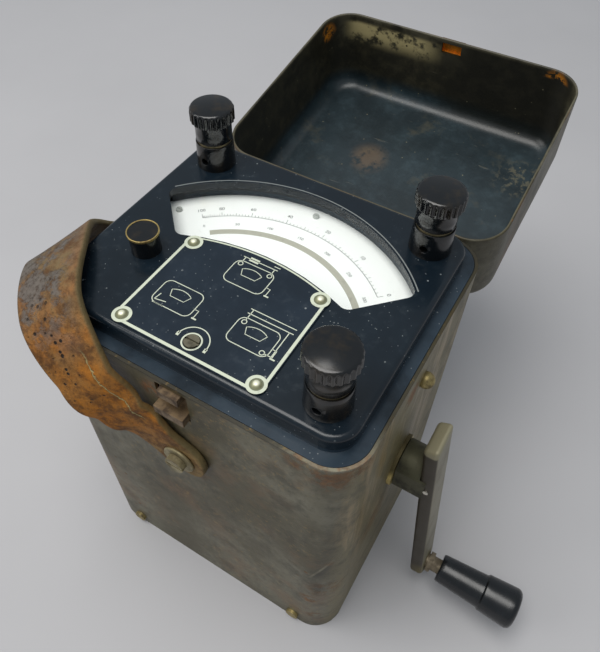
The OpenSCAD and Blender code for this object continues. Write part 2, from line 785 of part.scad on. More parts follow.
// Lid catch: a sprung leaf on a pin inside the front wall, with its nose and thumb ridge through the wall
catch_pivot_z = rim_z - 17;
catch_eye_r = 1.8;
catch_pin_r = 1;
catch_y = -(half_d - wall - clear - catch_eye_r);
module lid_catch() {
    leaf = 0.8;
    top = rim_z + lid_overlap - 2.6;
    inner_y = -(half_d - wall - clear - leaf);
    color([0.5, 0.33, 0.22]) difference() {
        union() {
            translate([0, catch_y, catch_pivot_z]) rod_x(catch_eye_r, -catch_w / 2, catch_w / 2);
            translate([-catch_w / 2, inner_y - leaf, catch_pivot_z]) cube([catch_w, leaf, top - catch_pivot_z]);
            translate([-nose_w / 2, -half_d - 2.2, rim_z + 3.2]) cube([nose_w, inner_y + half_d + 2.2, 4]);
            translate([-catch_w / 2, -half_d - 3.6, rim_z - 6.6]) cube([catch_w, inner_y + half_d + 3.6, 4.4]);
        }
        translate([0, catch_y, catch_pivot_z]) rod_x(catch_pin_r + run, -catch_w, catch_w);
    }
}

module catch_bracket() {
    ear = 1.5;
    inner_y = -(half_d - wall);
    color([0.35, 0.32, 0.27]) {
        for (side = [-1, 1]) translate([side * (catch_w / 2 + clear + ear / 2) - ear / 2, inner_y, catch_pivot_z - 3])
            difference() {
                cube([ear, 6, 6]);
                translate([0, catch_y - inner_y, 3]) rod_x(catch_pin_r + seat, -1, ear + 1);
            }
        translate([0, catch_y, catch_pivot_z]) rod_x(catch_pin_r, -catch_w / 2 - ear - 2 * clear, catch_w / 2 + ear + 2 * clear);
    }
}

// Crank
module crank_bush() {
    inside = half_w - frame_out_x - frame_t - clear;
    color([0.66, 0.5, 0.22]) on_shaft(crank_z) difference() {
        union() {
            rod_x(bush_r, half_w - inside, half_w + eps);
            rod_x(bush_flange_r, half_w, half_w + bush_flange_t);
        }
        rod_x(shaft_r + run, half_w - inside - 1, half_w + 5);
    }
}

// Bar of the crank arm, leaning out at its foot
module arm_bar() {
    translate([arm_x, crank_y, crank_z]) rotate([0, -arm_lean, 0]) difference() {
        rotate([90, 0, 90]) linear_extrude(arm_t) {
            hull() {
                translate([-arm_w / 2, -crank_throw]) square([arm_w, crank_throw]);
                for (y = [-1, 1]) translate([y * (arm_w / 2 - arm_end_r), arm_top - arm_end_r]) circle(arm_end_r);
            }
            translate([0, -crank_throw]) circle(arm_w / 2);
        }
        translate([arm_t, -arm_w, arm_top]) rotate([0, -arm_end_slope, 0])
            translate([-3 * arm_t, 0, 0]) cube([4 * arm_t, 2 * arm_w, arm_t]);
    }
}

arm_mid_x = arm_x + arm_t / 2;
grip_z = crank_z - crank_throw * cos(arm_lean);
spindle_x = arm_x + crank_throw * sin(arm_lean);
grip_x = spindle_x + arm_t + 7.2;

module crank_arm() {
    color([0.3, 0.27, 0.22]) difference() {
        arm_bar();
        on_shaft(crank_z) rod_x(shaft_r + seat, half_w, arm_x + arm_t + 5);
        translate([arm_mid_x, crank_y, crank_z]) rod_y(cross_pin_r + seat, -arm_w, arm_w);
        on_shaft(grip_z) rod_x(spindle_r + seat, spindle_x - 5, spindle_x + arm_t + 5);
    }
}

module crank_shaft() {
    color([0.5, 0.5, 0.48]) difference() {
        on_shaft(crank_z) rod_x(shaft_r, frame_in_x - 2, arm_x + arm_t - 0.6);
        translate([arm_mid_x, crank_y, crank_z]) rod_y(cross_pin_r + seat, -arm_w, arm_w);
    }
}

module crank_hub() {
    color([0.24, 0.23, 0.19]) difference() {
        on_shaft(crank_z) intersection() {
            rod_x(hub_r, half_w + bush_flange_t + clear, arm_x + arm_t / 2);
            translate([half_w, -hub_w / 2, -hub_r]) cube([30, hub_w, 2 * hub_r]);
        }
        arm_bar();
        on_shaft(crank_z) rod_x(shaft_r + seat, half_w, arm_x + arm_t);
        translate([arm_mid_x, crank_y, crank_z]) rod_y(cross_pin_r + seat, -arm_w, arm_w);
        translate([arm_x + arm_t / 2 - 1, crank_y - hub_r, crank_z - hub_r]) cube([arm_t, 2 * hub_r, 2 * hub_r]);
    }
}

module crank_pin() {
    color([0.62, 0.6, 0.55]) translate([arm_mid_x, crank_y, crank_z]) rod_y(cross_pin_r, -arm_w / 2 - 0.5, arm_w / 2 + 0.5);
}

module grip_spindle() {
    color([0.42, 0.33, 0.26]) on_shaft(grip_z) {
        rod_x(spindle_r, spindle_x + 0.5, grip_x + grip_len - 5);
        rod_x(spindle_r + 1.4, spindle_x + arm_t + 0.7, spindle_x + arm_t + 3);
    }
}

module crank_grip() {
    r = grip_d / 2;
    step = grip_len * 0.56;
    color([0.03, 0.03, 0.035]) on_shaft(grip_z) translate([grip_x, 0, 0]) rotate([0, 90, 0]) rotate_extrude()
        polygon(concat(
            [[spindle_r + run, 0], [r * 0.66, 0], [r * 0.7, 0.8], [r * 0.83, step], [r * 0.91, step + 0.8]],
            [for (a = [0 : 15 : 90]) [r - 3 + 3 * cos(a), grip_len - 3 + 3 * sin(a)]],
            [[0, grip_len], [0, grip_len - 4.5], [spindle_r + run, grip_len - 4.5]]));
}

// Gear train and generator
module main_gear() {
    color([0.6, 0.5, 0.28]) on_shaft(crank_z) difference() {
        union() {
            gear_x(main_teeth, main_gear_x, gear_t, -90);
            rod_x(shaft_r + 4, main_gear_x - 5, main_gear_x + eps);
        }
        rod_x(shaft_r + seat, main_gear_x - 6, main_gear_x + gear_t + 1);
    }
}

module layshaft() {
    color([0.5, 0.5, 0.48]) on_shaft(lay_z) {
        rod_x(lay_r, frame_in_x - 2, frame_out_x + frame_t + 2);
        gear_x(lay_pinion_teeth, main_gear_x - pinion_over, gear_t + 2 * pinion_over, 90 + 180 / lay_pinion_teeth);
    }
}

module layshaft_gear() {
    color([0.6, 0.5, 0.28]) on_shaft(lay_z) difference() {
        union() {
            gear_x(lay_gear_teeth, lay_gear_x, gear_t, -90);
            rod_x(lay_r + 4, lay_gear_x + gear_t - eps, lay_gear_x + gear_t + 5);
        }
        rod_x(lay_r + seat, lay_gear_x - 1, lay_gear_x + gear_t + 6);
    }
}

module rotor_shaft() {
    color([0.5, 0.5, 0.48]) on_shaft(rotor_z) {
        rod_x(rotor_r, end_plate_x - 2, frame_out_x + frame_t + 2);
        gear_x(rotor_pinion_teeth, lay_gear_x - pinion_over, gear_t + 2 * pinion_over, 90 + 180 / rotor_pinion_teeth);
    }
}

module rotor_core() {
    color([0.45, 0.28, 0.15]) on_shaft(rotor_z) difference() {
        rod_x(armature_r, armature_x, armature_x + armature_len);
        rod_x(rotor_r + seat, armature_x - 1, armature_x + armature_len + 1);
        for (side = [-1, 1]) translate([armature_x - 1, -5, side * armature_r - 4]) cube([armature_len + 2, 10, 8]);
    }
}

module commutator() {
    color([0.7, 0.45, 0.25]) on_shaft(rotor_z) difference() {
        rod_x(commutator_r, armature_x - 10, armature_x - 1);
        rod_x(rotor_r + seat, armature_x - 11, armature_x);
    }
}

module pole_shoes() {
    color([0.35, 0.35, 0.37]) difference() {
        translate([armature_x, crank_y - shoe_w, base_t]) cube([armature_len, 2 * shoe_w, rotor_z + shoe_w - 2 - base_t]);
        on_shaft(rotor_z) rod_x(armature_r + air_gap, armature_x - 1, armature_x + armature_len + 1);
        translate([armature_x - 1, crank_y - 5, 0]) cube([armature_len + 2, 10, case_h]);
    }
}

module generator_magnet() {
    inset = 5;
    top = rotor_z + shoe_w + 6;
    color([0.5, 0.12, 0.1]) translate([armature_x + inset, crank_y, 0]) difference() {
        translate([0, -shoe_w - magnet_t, base_t]) cube([armature_len - 2 * inset, 2 * (shoe_w + magnet_t), top + magnet_t - base_t]);
        translate([-1, -shoe_w, 0]) cube([armature_len, 2 * shoe_w, top]);
    }
}

module end_plate() {
    color([0.55, 0.55, 0.53]) difference() {
        translate([end_plate_x, crank_y - 30, base_t]) cube([frame_t, 60, rotor_z + 20 - base_t]);
        on_shaft(rotor_z) rod_x(rotor_r + bush_wall + seat, end_plate_x - 1, end_plate_x + frame_t + 1);
    }
}

module brush_gear() {
    reach = armature_x - 3 - end_plate_x - frame_t;
    color([0.2, 0.17, 0.15]) for (side = [-1, 1])
        translate([end_plate_x + frame_t, crank_y + side * (commutator_r + 4.55) - 4, rotor_z - 3]) cube([reach, 8, 6]);
}

module frame_plate(x, shafts) {
    color([0.62, 0.62, 0.6]) difference() {
        translate([x, crank_y - frame_w / 2, base_t]) cube([frame_t, frame_w, frame_top - base_t]);
        for (s = shafts) on_shaft(s[0]) rod_x(s[1] + bush_wall + seat, x - 1, x + frame_t + 1);
    }
}

frame_shafts = [[crank_z, shaft_r], [lay_z, lay_r], [rotor_z, rotor_r]];
module frame_plate_outer() { frame_plate(frame_out_x, frame_shafts); }
module frame_plate_inner() { frame_plate(frame_in_x, frame_shafts); }

module frame_pillars() {
    color([0.66, 0.5, 0.22]) for (y = [-1, 1], z = [base_t + 12, frame_top - 6])
        translate([0, crank_y + y * (frame_w / 2 - 6), z]) rod_x(frame_pillar_r, frame_in_x + frame_t, frame_out_x);
}

module frame_bushes() {
    over = 1;
    color([0.66, 0.5, 0.22]) {
        for (s = frame_shafts, x = [frame_in_x, frame_out_x]) on_shaft(s[0]) difference() {
            rod_x(s[1] + bush_wall, x - over, x + frame_t + (x == frame_out_x && s[0] == crank_z ? 0 : over));
            rod_x(s[1] + run, x - 5, x + frame_t + 5);
        }
        on_shaft(rotor_z) difference() {
            rod_x(rotor_r + bush_wall, end_plate_x - over, end_plate_x + frame_t + over);
            rod_x(rotor_r + run, end_plate_x - 5, end_plate_x + frame_t + 5);
        }
    }
}

// Strap: its studs, washers and the leather
module strap_studs() {
    color([0.45, 0.4, 0.3]) for (y = [-1, 1]) translate([0, y * half_d, strap_z]) mirror([0, y < 0 ? 1 : 0, 0])
        difference() {
            union() {
                rod_y(strap_stud_r, -wall - 3, strap_lift + strap_t + strap_washer_t + slip + eps);
                translate([0, strap_lift + strap_t + strap_washer_t + slip, 0]) rod_y(strap_stud_r + 1.2, 0, strap_head_t);
                rod_y(strap_stud_r + 2, -wall - 3, -wall);
            }
            translate([-6, strap_lift + strap_t + strap_washer_t + slip + 1.4, -0.6]) cube([12, 5, 1.2]);
        }
}

module strap_washers() {
    color([0.4, 0.37, 0.3]) for (y = [-1, 1])
        translate([0, y * (half_d + strap_lift + strap_t + slip / 2), strap_z]) mirror([0, y < 0 ? 1 : 0, 0]) difference() {
            rod_y(7, 0, strap_washer_t);
            rod_y(strap_stud_r + seat, -1, strap_washer_t + 1);
        }
}

// Points of a smooth curve through the rows of a route
function between(a, b, c, d, t) =
    0.5 * (2 * b + (c - a) * t + (2 * a - 5 * b + 4 * c - d) * t * t + (3 * b - a - 3 * c + d) * t * t * t);
function smooth(rows, steps) =
    let (n = len(rows) - 1)
    [for (i = [0 : n - 1], s = [0 : steps - (i == n - 1 ? 0 : 1)])
        between(rows[max(0, i - 1)], rows[i], rows[i + 1], rows[min(n, i + 2)], s / steps)];
function unit(v) = v / norm(v);
function place(row) = [row[0], row[1], row[2]];

// One cross section of the leather: centre c, direction t, and its width leant towards the case
function strap_ring(c, t, lean) =
    let (up = unit([0, 0, 1] - t[2] * t), side = unit([t[1], -t[0], 0]),
         w = cos(lean) * up + sin(lean) * side, n = cross(t, w),
         a = strap_w / 2, b = strap_t / 2, e = strap_t / 4)
    [for (p = [[-a + e, -b], [a - e, -b], [a, -b + e], [a, b - e], [a - e, b], [-a + e, b], [-a, b - e], [-a, -b + e]])
        c + p[0] * w + p[1] * n];

// A solid swept through rings of equal length
module swept(rings) {
    m = len(rings[0]);
    n = len(rings);
    polyhedron(
        points = [for (r = rings) each r],
        faces = concat(
            [[for (j = [0 : m - 1]) j]],
            [for (i = [0 : n - 2], j = [0 : m - 1]) each [
                [i * m + j, (i + 1) * m + j, i * m + (j + 1) % m],
                [i * m + (j + 1) % m, (i + 1) * m + j, (i + 1) * m + (j + 1) % m]]],
            [[for (j = [m - 1 : -1 : 0]) (n - 1) * m + j]]));
}

// Flat end of the leather on its stud, along +X before it is tilted
module strap_tongue(y, tilt, reach) {
    translate([0, y, strap_z]) rotate([0, tilt, 0]) {
        translate([-reach, -strap_t / 2, -tongue_w / 2]) cube([reach, strap_t, tongue_w]);
        rod_y(tongue_w / 2, -strap_t / 2, strap_t / 2);
    }
}

module carrying_strap() {
    path = smooth(strap_route, strap_steps);
    last = len(path) - 1;
    rings = [for (i = [0 : last])
        strap_ring(place(path[i]), unit(place(path[min(last, i + 1)]) - place(path[max(0, i - 1)])), path[i][3])];
    color([0.52, 0.29, 0.12]) difference() {
        union() {
            swept(rings);
            strap_tongue(front_y, tongue_tilt, tongue_len);
            strap_tongue(rear_y, 0, tongue_len);
        }
        for (y = [front_y, rear_y]) translate([0, y, strap_z]) rod_y(strap_stud_r + run, -strap_t, strap_t);
    }
}

case_shell();
base_plate();
base_screws();
top_panel();
panel_screws();
window_glass();
dial_plate();
dial_screws();
name_plate();
name_plate_rivets();
terminal_bases();
terminal_studs();
case_hinge_leaves();
hinge_pins();
strap_studs();
strap_washers();
crank_bush();
catch_bracket();
frame_plate_outer();
frame_plate_inner();
frame_pillars();
frame_bushes();
generator_magnet();
pole_shoes();
end_plate();
brush_gear();
meter_plate();
meter_magnet();
meter_core();
resistor_spools();
button_contacts();
button_spring();
lid_shell();
lid_hinge_leaves();
crank_shaft();
crank_hub();
crank_arm();
crank_pin();
grip_spindle();
main_gear();
crank_grip();
layshaft();
layshaft_gear();
rotor_shaft();
rotor_core();
commutator();
push_button();
button_ring();
lid_catch();
terminal_washer_1();
terminal_washer_2();
terminal_washer_3();
terminal_cap_1();
terminal_cap_2();
terminal_cap_3();
zero_adjuster();
pointer();
meter_coil();
carrying_strap();
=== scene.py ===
"""Looks of a hand-cranked insulation tester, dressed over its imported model."""

from types import SimpleNamespace

import bmesh
import bpy
import numpy as np
from bpy.props import FloatProperty, FloatVectorProperty, IntProperty, PointerProperty
from mathutils import Matrix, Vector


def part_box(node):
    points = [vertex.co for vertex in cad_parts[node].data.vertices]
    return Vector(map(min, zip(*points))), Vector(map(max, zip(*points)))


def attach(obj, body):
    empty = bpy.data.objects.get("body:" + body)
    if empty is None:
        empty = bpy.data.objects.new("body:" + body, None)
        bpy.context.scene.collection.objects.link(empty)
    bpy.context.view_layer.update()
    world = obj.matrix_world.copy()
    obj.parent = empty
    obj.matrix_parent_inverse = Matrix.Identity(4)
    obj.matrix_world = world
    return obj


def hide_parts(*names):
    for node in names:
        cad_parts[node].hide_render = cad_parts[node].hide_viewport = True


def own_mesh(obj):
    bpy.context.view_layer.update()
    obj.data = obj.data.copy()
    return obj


bl_info = {
    "name": "Insulation tester looks",
    "version": (1, 0, 0),
    "blender": (4, 5, 0),
    "location": "View3D > Sidebar > Tester",
    "description": "Dresses the packed model of a hand-cranked insulation tester",
    "category": "Object",
}

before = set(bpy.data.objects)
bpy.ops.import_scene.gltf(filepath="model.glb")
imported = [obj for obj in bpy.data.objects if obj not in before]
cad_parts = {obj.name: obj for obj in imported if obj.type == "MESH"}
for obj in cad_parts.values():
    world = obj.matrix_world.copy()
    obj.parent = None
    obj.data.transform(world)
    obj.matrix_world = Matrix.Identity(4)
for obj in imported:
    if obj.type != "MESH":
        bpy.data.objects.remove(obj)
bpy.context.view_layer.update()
MM = 0.001
DIAL_PIVOT = (0.0, -28.0)  # middle of the dial's arcs, in millimetres


def tint(red, green, blue):
    """A colour as it is seen on a screen, 0 to 255, in the linear light that shaders use."""
    seen = np.array([red, green, blue]) / 255
    return tuple(float(v) for v in np.where(seen > 0.04045, ((seen + 0.055) / 1.055) ** 2.4, seen / 12.92))


def scaled(values, share, plus=0.0):
    """A colour or place with each value multiplied by a share, or by one of its own, and something added."""
    return tuple(float(v) for v in np.multiply(values, share) + plus)


def box_mm(node):
    """Lowest and highest corner of a CAD node in millimetres."""
    return tuple(np.array(corner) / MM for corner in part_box(node))


# Shapes

def grid_faces(rows, columns):
    """Faces between rings of points: a point, its neighbour in the ring and the two in the next ring."""
    i = np.arange(rows - 1)[:, None]
    j = np.arange(columns)[None, :]
    beside = (j + 1) % columns
    corners = np.broadcast_arrays(i * columns + j, i * columns + beside,
                                  (i + 1) * columns + beside, (i + 1) * columns + j)
    return np.stack(corners, -1).reshape(-1, 4)


def tube_faces(rows, columns):
    """Faces between rings of points, and one face each that closes the first and the last ring."""
    last = (rows - 1) * columns
    return grid_faces(rows, columns).tolist() + [list(range(columns)), list(range(last, last + columns))]


def make_piece(name, points, faces, body, slot, paints, stands_for=(), sharp=40.0, turn_out=True):
    """A piece from points in millimetres and faces. Doubles are merged and faces turned outwards."""
    mesh = bpy.data.meshes.new(name)
    corners = [[int(k) for k in face] for face in faces]
    mesh.from_pydata((np.asarray(points, float) * MM).tolist(), [], corners)
    work = bmesh.new()
    work.from_mesh(mesh)
    bmesh.ops.remove_doubles(work, verts=work.verts, dist=1e-7)
    if turn_out:
        bmesh.ops.recalc_face_normals(work, faces=work.faces)
    work.to_mesh(mesh)
    work.free()
    mesh.shade_smooth()
    mesh.set_sharp_from_angle(angle=np.radians(sharp))
    for paint in paints:
        mesh.materials.append(paint)
    made = bpy.data.objects.new(name, mesh)
    bpy.context.scene.collection.objects.link(made)
    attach(made, body)
    if stands_for:
        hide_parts(*stands_for)
    return made


def rounded_corner(centre, radius, first, last, steps=6):
    """Points of an arc about a centre, from the first to the last angle in degrees."""
    angle = np.radians(np.linspace(first, last, steps))
    return np.stack([centre[0] + radius * np.cos(angle), centre[1] + radius * np.sin(angle)], -1)


def rounded_box(half_x, half_y, radius):
    """Points of a rectangle with round corners about the middle: an arc in each quarter."""
    return np.vstack([rounded_corner((sx * (half_x - radius), sy * (half_y - radius)), radius, turn, turn + 90)
                      for sx, sy, turn in ((1, 1, 0), (-1, 1, 90), (-1, -1, 180), (1, -1, 270))])


def lathe(profile):
    """A profile of radius and height turned about Z. Each step of the turn has a profile of its own."""
    rows, turns = profile.shape[:2]
    angle = 2 * np.pi * np.arange(turns) / turns
    radius, height = profile[..., 0], profile[..., 1]
    points = np.stack([radius * np.cos(angle), radius * np.sin(angle), height], -1)
    return points.reshape(-1, 3), grid_faces(rows, turns)


def smooth_curve(rows, steps):
    """A curve that passes through every row, with its slope at a row taken from the rows beside it."""
    padded = np.vstack([rows[:1], rows, rows[-1:]])
    a, b, c, d = (padded[k:len(padded) - 3 + k, None, :] for k in range(4))
    t = (np.arange(steps) / steps)[None, :, None]
    curve = 0.5 * (2 * b + (c - a) * t + (2 * a - 5 * b + 4 * c - d) * t ** 2
                   + (3 * b - a - 3 * c + d) * t ** 3)
    return np.vstack([curve.reshape(-1, rows.shape[1]), rows[-1:]])


def unit(vectors):
    """Vectors divided by their lengths."""
    return vectors / np.linalg.norm(vectors, axis=-1, keepdims=True)


def ribbon(path, width, closed=False):
    """A flat line of a width along a path of x and y: each point goes half the width to both sides."""
    path = np.asarray(path, float)
    ahead = np.roll(path, -1, 0) - np.roll(path, 1, 0)
    if not closed:
        ahead[0], ahead[-1] = path[1] - path[0], path[-1] - path[-2]
    ahead = unit(ahead)
    side = np.stack([-ahead[:, 1], ahead[:, 0]], -1) * width / 2
    points = np.stack([path + side, path - side], 1).reshape(-1, 2)
    first = np.arange(0, 2 * len(path) - (0 if closed else 2), 2)
    faces = np.stack([first, first + 1, first + 3, first + 2], -1) % len(points)
    return points, faces


def arc(centre, radius, first, last, steps=40):
    """Points on a circle by compass angle: 0 is along +Y and a positive angle is to the right."""
    angle = np.radians(np.linspace(first, last, steps))
    return np.stack([centre[0] + radius * np.sin(angle), centre[1] + radius * np.cos(angle)], -1)


def ring(centre, radius, width, steps=40):
    """A flat line of a width round a circle."""
    return ribbon(arc(centre, radius, 0, 360 - 360 / steps, steps), width, closed=True)


def join_flat(parts, height):
    """Flat parts of points and faces as one mesh at a height."""
    points, faces, start = [], [], 0
    for flat, loops in parts:
        points.append(np.column_stack([flat, np.full(len(flat), height)]))
        faces += [[k + start for k in loop] for loop in loops]
        start += len(flat)
    return np.vstack(points), faces


def print_flat(name, parts, height, slot, paint):
    """Flat parts printed on the case at a height, as one piece."""
    make_piece(name, *join_flat(parts, height), "case", slot, [paint], turn_out=False)


# Materials

class Wire:
    """A socket of a material's nodes. Sums, products and the like of wires add Math nodes."""

    def __init__(self, tree, socket=None):
        self.tree = tree
        self.socket = socket

    def node(self, kind, settings=None, values=None, out=0):
        """Adds a node of a type: its settings first, then the values or wires of its sockets."""
        made = self.tree.nodes.new(kind)
        for key, value in (settings or {}).items():
            setattr(made, key, value)
        for key, value in (values or {}).items():
            if isinstance(value, Wire):
                self.tree.links.new(value.socket, made.inputs[key])
            else:
                made.inputs[key].default_value = value
        return Wire(self.tree, made.outputs[out] if len(made.outputs) else None)

    def math(self, operation, first, second=0.0):
        return self.node("ShaderNodeMath", {"operation": operation}, {0: first, 1: second})

    def __add__(self, other):
        return self.math("ADD", self, other)

    __radd__ = __add__

    def __sub__(self, other):
        return self.math("SUBTRACT", self, other)

    def __rsub__(self, other):
        return self.math("SUBTRACT", other, self)

    def __mul__(self, other):
        return self.math("MULTIPLY", self, other)

    __rmul__ = __mul__

    def __pow__(self, other):
        return self.math("POWER", self, other)

    def __abs__(self):
        return self.math("ABSOLUTE", self)

    def most(self, other):
        return self.math("MAXIMUM", self, other)

    def rise(self, low, high):
        """0 below low, 1 above high and a smooth step between; the other way round if low is higher."""
        return self.node("ShaderNodeMapRange", {"interpolation_type": "SMOOTHSTEP"},
                         {"Value": self, "From Min": low, "From Max": high})

    def axis(self, letter):
        return self.node("ShaderNodeSeparateXYZ", {}, {0: self}, "XYZ".index(letter))

    def noise(self, scale, detail=4.0, roughness=0.6, stretch=(1, 1, 1)):
        """Noise with about that many lumps in a metre, stretched by dividing along the axes."""
        place = self.node("ShaderNodeMapping", {}, {"Vector": self, "Scale": stretch})
        return self.node("ShaderNodeTexNoise", {}, {"Vector": place, "Scale": scale, "Detail": detail,
                                                    "Roughness": roughness})

    def specks(self, scale, size):
        """Round specks, 1 at their middles, about that many to a metre."""
        near = self.node("ShaderNodeTexVoronoi", {}, {"Vector": self, "Scale": scale})
        return near.rise(size, size * 0.5)

    def near(self, centre, inner, outer):
        """1 within the inner distance of a place in metres and 0 past the outer one."""
        gap = self.node("ShaderNodeVectorMath", {"operation": "DISTANCE"}, {0: self, 1: centre}, "Value")
        return gap.rise(outer, inner)

    def bump(self, strength, distance):
        return self.node("ShaderNodeBump", {}, {"Height": self, "Strength": strength, "Distance": distance})


def blend(factor, low, high):
    """A colour between two by a factor; either may be a wire."""
    plain = [c if isinstance(c, Wire) else (*c, 1.0) for c in (low, high)]
    return factor.node("ShaderNodeMix", {"data_type": "RGBA"}, {0: factor, 6: plain[0], 7: plain[1]}, 2)


def layers(tone, *coats):
    """A colour with coats laid over it in turn. Each coat has a factor and a colour."""
    for factor, coat in coats:
        tone = blend(factor, tone, coat)
    return tone


def start_paint(name):
    """A new material without nodes, and the wire of the place on the piece in metres."""
    paint = bpy.data.materials.new(name)
    paint.use_nodes = True
    paint.node_tree.nodes.clear()
    return paint, Wire(paint.node_tree).node("ShaderNodeTexCoord", out="Object")


def end_paint(paint, place, colour, values):
    """Puts the colour and the other values on the material's shader."""
    colour = colour if isinstance(colour, Wire) else (*colour, 1.0)
    shader = place.node("ShaderNodeBsdfPrincipled", {}, {"Base Color": colour, **values})
    place.node("ShaderNodeOutputMaterial", {}, {"Surface": shader})
    return paint


def worn_enamel(name, colour, hazy, rust, spots=(), golden_lit_flank=None, streaks=None):
    """Old enamel on sheet steel: mottled, hazy, with rust pocks and rusty places; a right flank paler and golden,
    partly rubbed wear and partly painted light; a dent drawn as a painted shade line beside a painted highlight line.
    """
    paint, place = start_paint(name)
    broad = place.noise(15, 5, 0.62)
    mottle = place.noise(62, 6, 0.68)
    runs = place.noise(36, 5, 0.65, (2.2, 2.2, 0.6))
    grain = place.noise(900, 3)
    dark = scaled(colour, 0.42)
    brown = tuple(0.4 * c + 0.6 * k for c, k in zip(rust, colour))
    worn = layers(colour, (broad.rise(0.4, 0.6), hazy), (runs.rise(0.5, 0.74) * 0.6, dark),
                  (place.noise(24, 5, 0.65).rise(0.5, 0.68) * 0.6, brown))
    rough = 0.42 + 0.22 * mottle - 0.1 * broad
    if golden_lit_flank:
        x, z = place.axis("X"), place.axis("Z")
        wall_x, rim_z = 0.0697, 0.1796
        side = x.rise(wall_x - 0.0067, wall_x)
        rubbed = place.noise(150, 5, 0.65, (1, 1, 0.12)).rise(0.46, 0.64) * side * z.rise(0.05, 0.13)
        rough = rough - 0.14 * rubbed
        rim = z.rise(rim_z - 0.001, rim_z)
        glint = rim * place.noise(120).rise(0.25, 0.4) * place.near((0.062, -0.057, 0.18), 0.006, 0.026)
        # Painted shade and painted highlight of a dent on the front wall: a dark line with a pale line beside it.
        dent_x, dent_z, lean_x, lean_z = 0.0587, 0.0766, 0.3317, 0.9434
        off = (x - dent_x) * lean_z - (z - dent_z) * lean_x
        dent_shade_and_highlight = place.axis("Y").rise(-0.053, -0.057) * z.rise(0.072, 0.08) * z.rise(0.117, 0.106)
        # Painted light and wear: the whole right flank is laid paler and golden, with rubbed golden streaks over it.
        worn = layers(worn, (side * (0.55 + 0.4 * broad), golden_lit_flank), (rubbed * 0.55, streaks),
                      (rim * 0.85, scaled(dark, 0.6)), (glint * 0.55, scaled(hazy, 2.2, 0.05)),
                      (dent_shade_and_highlight * off.rise(-0.0003, 0.0004) * off.rise(0.0034, 0.001) * 0.75, dark),
                      (dent_shade_and_highlight * off.rise(-0.0013, -0.0007) * off.rise(0.0002, -0.0003) * 0.5, scaled(hazy, 1.7)))
    fleck = place.noise(480, 3).rise(0.58, 0.68) * place.noise(20).rise(0.42, 0.58)
    rusty = place.specks(120, 0.16) * place.noise(28, 3).rise(0.54, 0.64) * 0.7
    ragged = place.noise(190, 6, 0.7).rise(0.4, 0.56)
    for centre, reach, strength in spots:
        rusty = rusty.most(place.near(scaled(centre, MM), 0.35 * reach * MM, reach * MM) * (ragged * strength))
    rusty_tone = blend(place.noise(300, 4, 0.7).rise(0.35, 0.65), scaled(rust, 0.45), rust)
    worn = layers(worn, (mottle.rise(0.48, 0.68) * 0.6, dark), (place.noise(340, 4, 0.7).rise(0.5, 0.7) * 0.45, dark),
                  (fleck * 0.32, streaks or scaled(hazy, 1.3)), (rusty, rusty_tone))
    relief = grain * 0.4 + mottle * 0.5 + rusty * 0.8
    return end_paint(paint, place, worn, {
        "Roughness": rough + 0.25 * rusty, "Metallic": 0.0, "Specular IOR Level": 0.4,
        "Normal": relief.bump(0.35, 0.0006)})


def satin_panel(name, colour, dust, ledge_dust_and_sheen=None):
    """Dark moulded panel: satin, with smears, fine scratches and dust specks; a ledge paler with dust and a painted
    sheen, if wanted.
    """
    paint, place = start_paint(name)
    smear = place.noise(30, 5, 0.65)
    fine = place.noise(240)
    film = fine.rise(0.5, 0.8) * smear.rise(0.45, 0.7)
    flecks = (place.specks(210, 0.1) * fine.rise(0.46, 0.58)).most(place.specks(460, 0.12) * smear.rise(0.46, 0.62))
    tone = layers(colour, (smear.rise(0.4, 0.7), scaled(colour, 1.4)), (film * 0.06, dust))
    if ledge_dust_and_sheen:
        # Dust and painted sheen: the ledge below the platform is paler in smeared patches.
        ledge_z = 0.1812
        low = place.axis("Z").rise(ledge_z + 0.001, ledge_z)
        tone = blend(low * smear.rise(0.3, 0.6) * 0.6, tone, ledge_dust_and_sheen)
    return end_paint(paint, place, blend(flecks * 0.6, tone, dust), {
        "Roughness": 0.15 + 0.15 * smear + 0.3 * flecks, "Specular IOR Level": 0.42,
        "Normal": (fine + flecks).bump(0.08, 0.0003)})


def gloss_bakelite(name, colour, glow, rough=0.12):
    """Polished dark bakelite with brown streaks, rubbed dull places and a little dust."""
    paint, place = start_paint(name)
    streak = place.noise(120, 5, 0.65, (1, 1, 0.25))
    rub = place.noise(220)
    flecks = place.specks(520, 0.09) * rub.rise(0.54, 0.64)
    tone = layers(colour, (streak.rise(0.45, 0.72), glow), (flecks * 0.35, scaled(glow, 5, 0.04)))
    return end_paint(paint, place, tone, {
        "Roughness": rough + 0.14 * rub + 0.3 * flecks, "Specular IOR Level": 0.55, "Normal": rub.bump(0.04, 0.0003)})


def old_metal(name, colour, tarnish, metallic, rough, patch=60.0, shaded_from=None):
    """Bare metal with tarnish in patches, fine scratches and grime; painted shade above a height in metres if wanted.
    """
    paint, place = start_paint(name)
    patches = place.noise(patch, 6, 0.68)
    fine = place.noise(700, 4, 0.65)
    lines = place.noise(500, 2, 0.5, (1, 0.08, 0.25)).rise(0.6, 0.72)
    grime = patches.rise(0.42, 0.66)
    tone = layers(colour, (grime, tarnish), (lines * 0.3, scaled(colour, 1.35)),
                  (fine.rise(0.62, 0.75) * 0.5, scaled(tarnish, 0.4)))
    if shaded_from:
        # Painted shade: much darker above the height.
        painted_shade = place.axis("Z").rise(shaded_from, shaded_from + 0.005)
        tone = blend(painted_shade * 0.9, tone, scaled(tarnish, 0.12))
        grime = grime.most(painted_shade)
    return end_paint(paint, place, tone, {
        "Roughness": rough + 0.25 * grime + 0.12 * fine, "Metallic": metallic - 0.45 * metallic * grime,
        "Normal": (fine + patches).bump(0.2, 0.0003)})


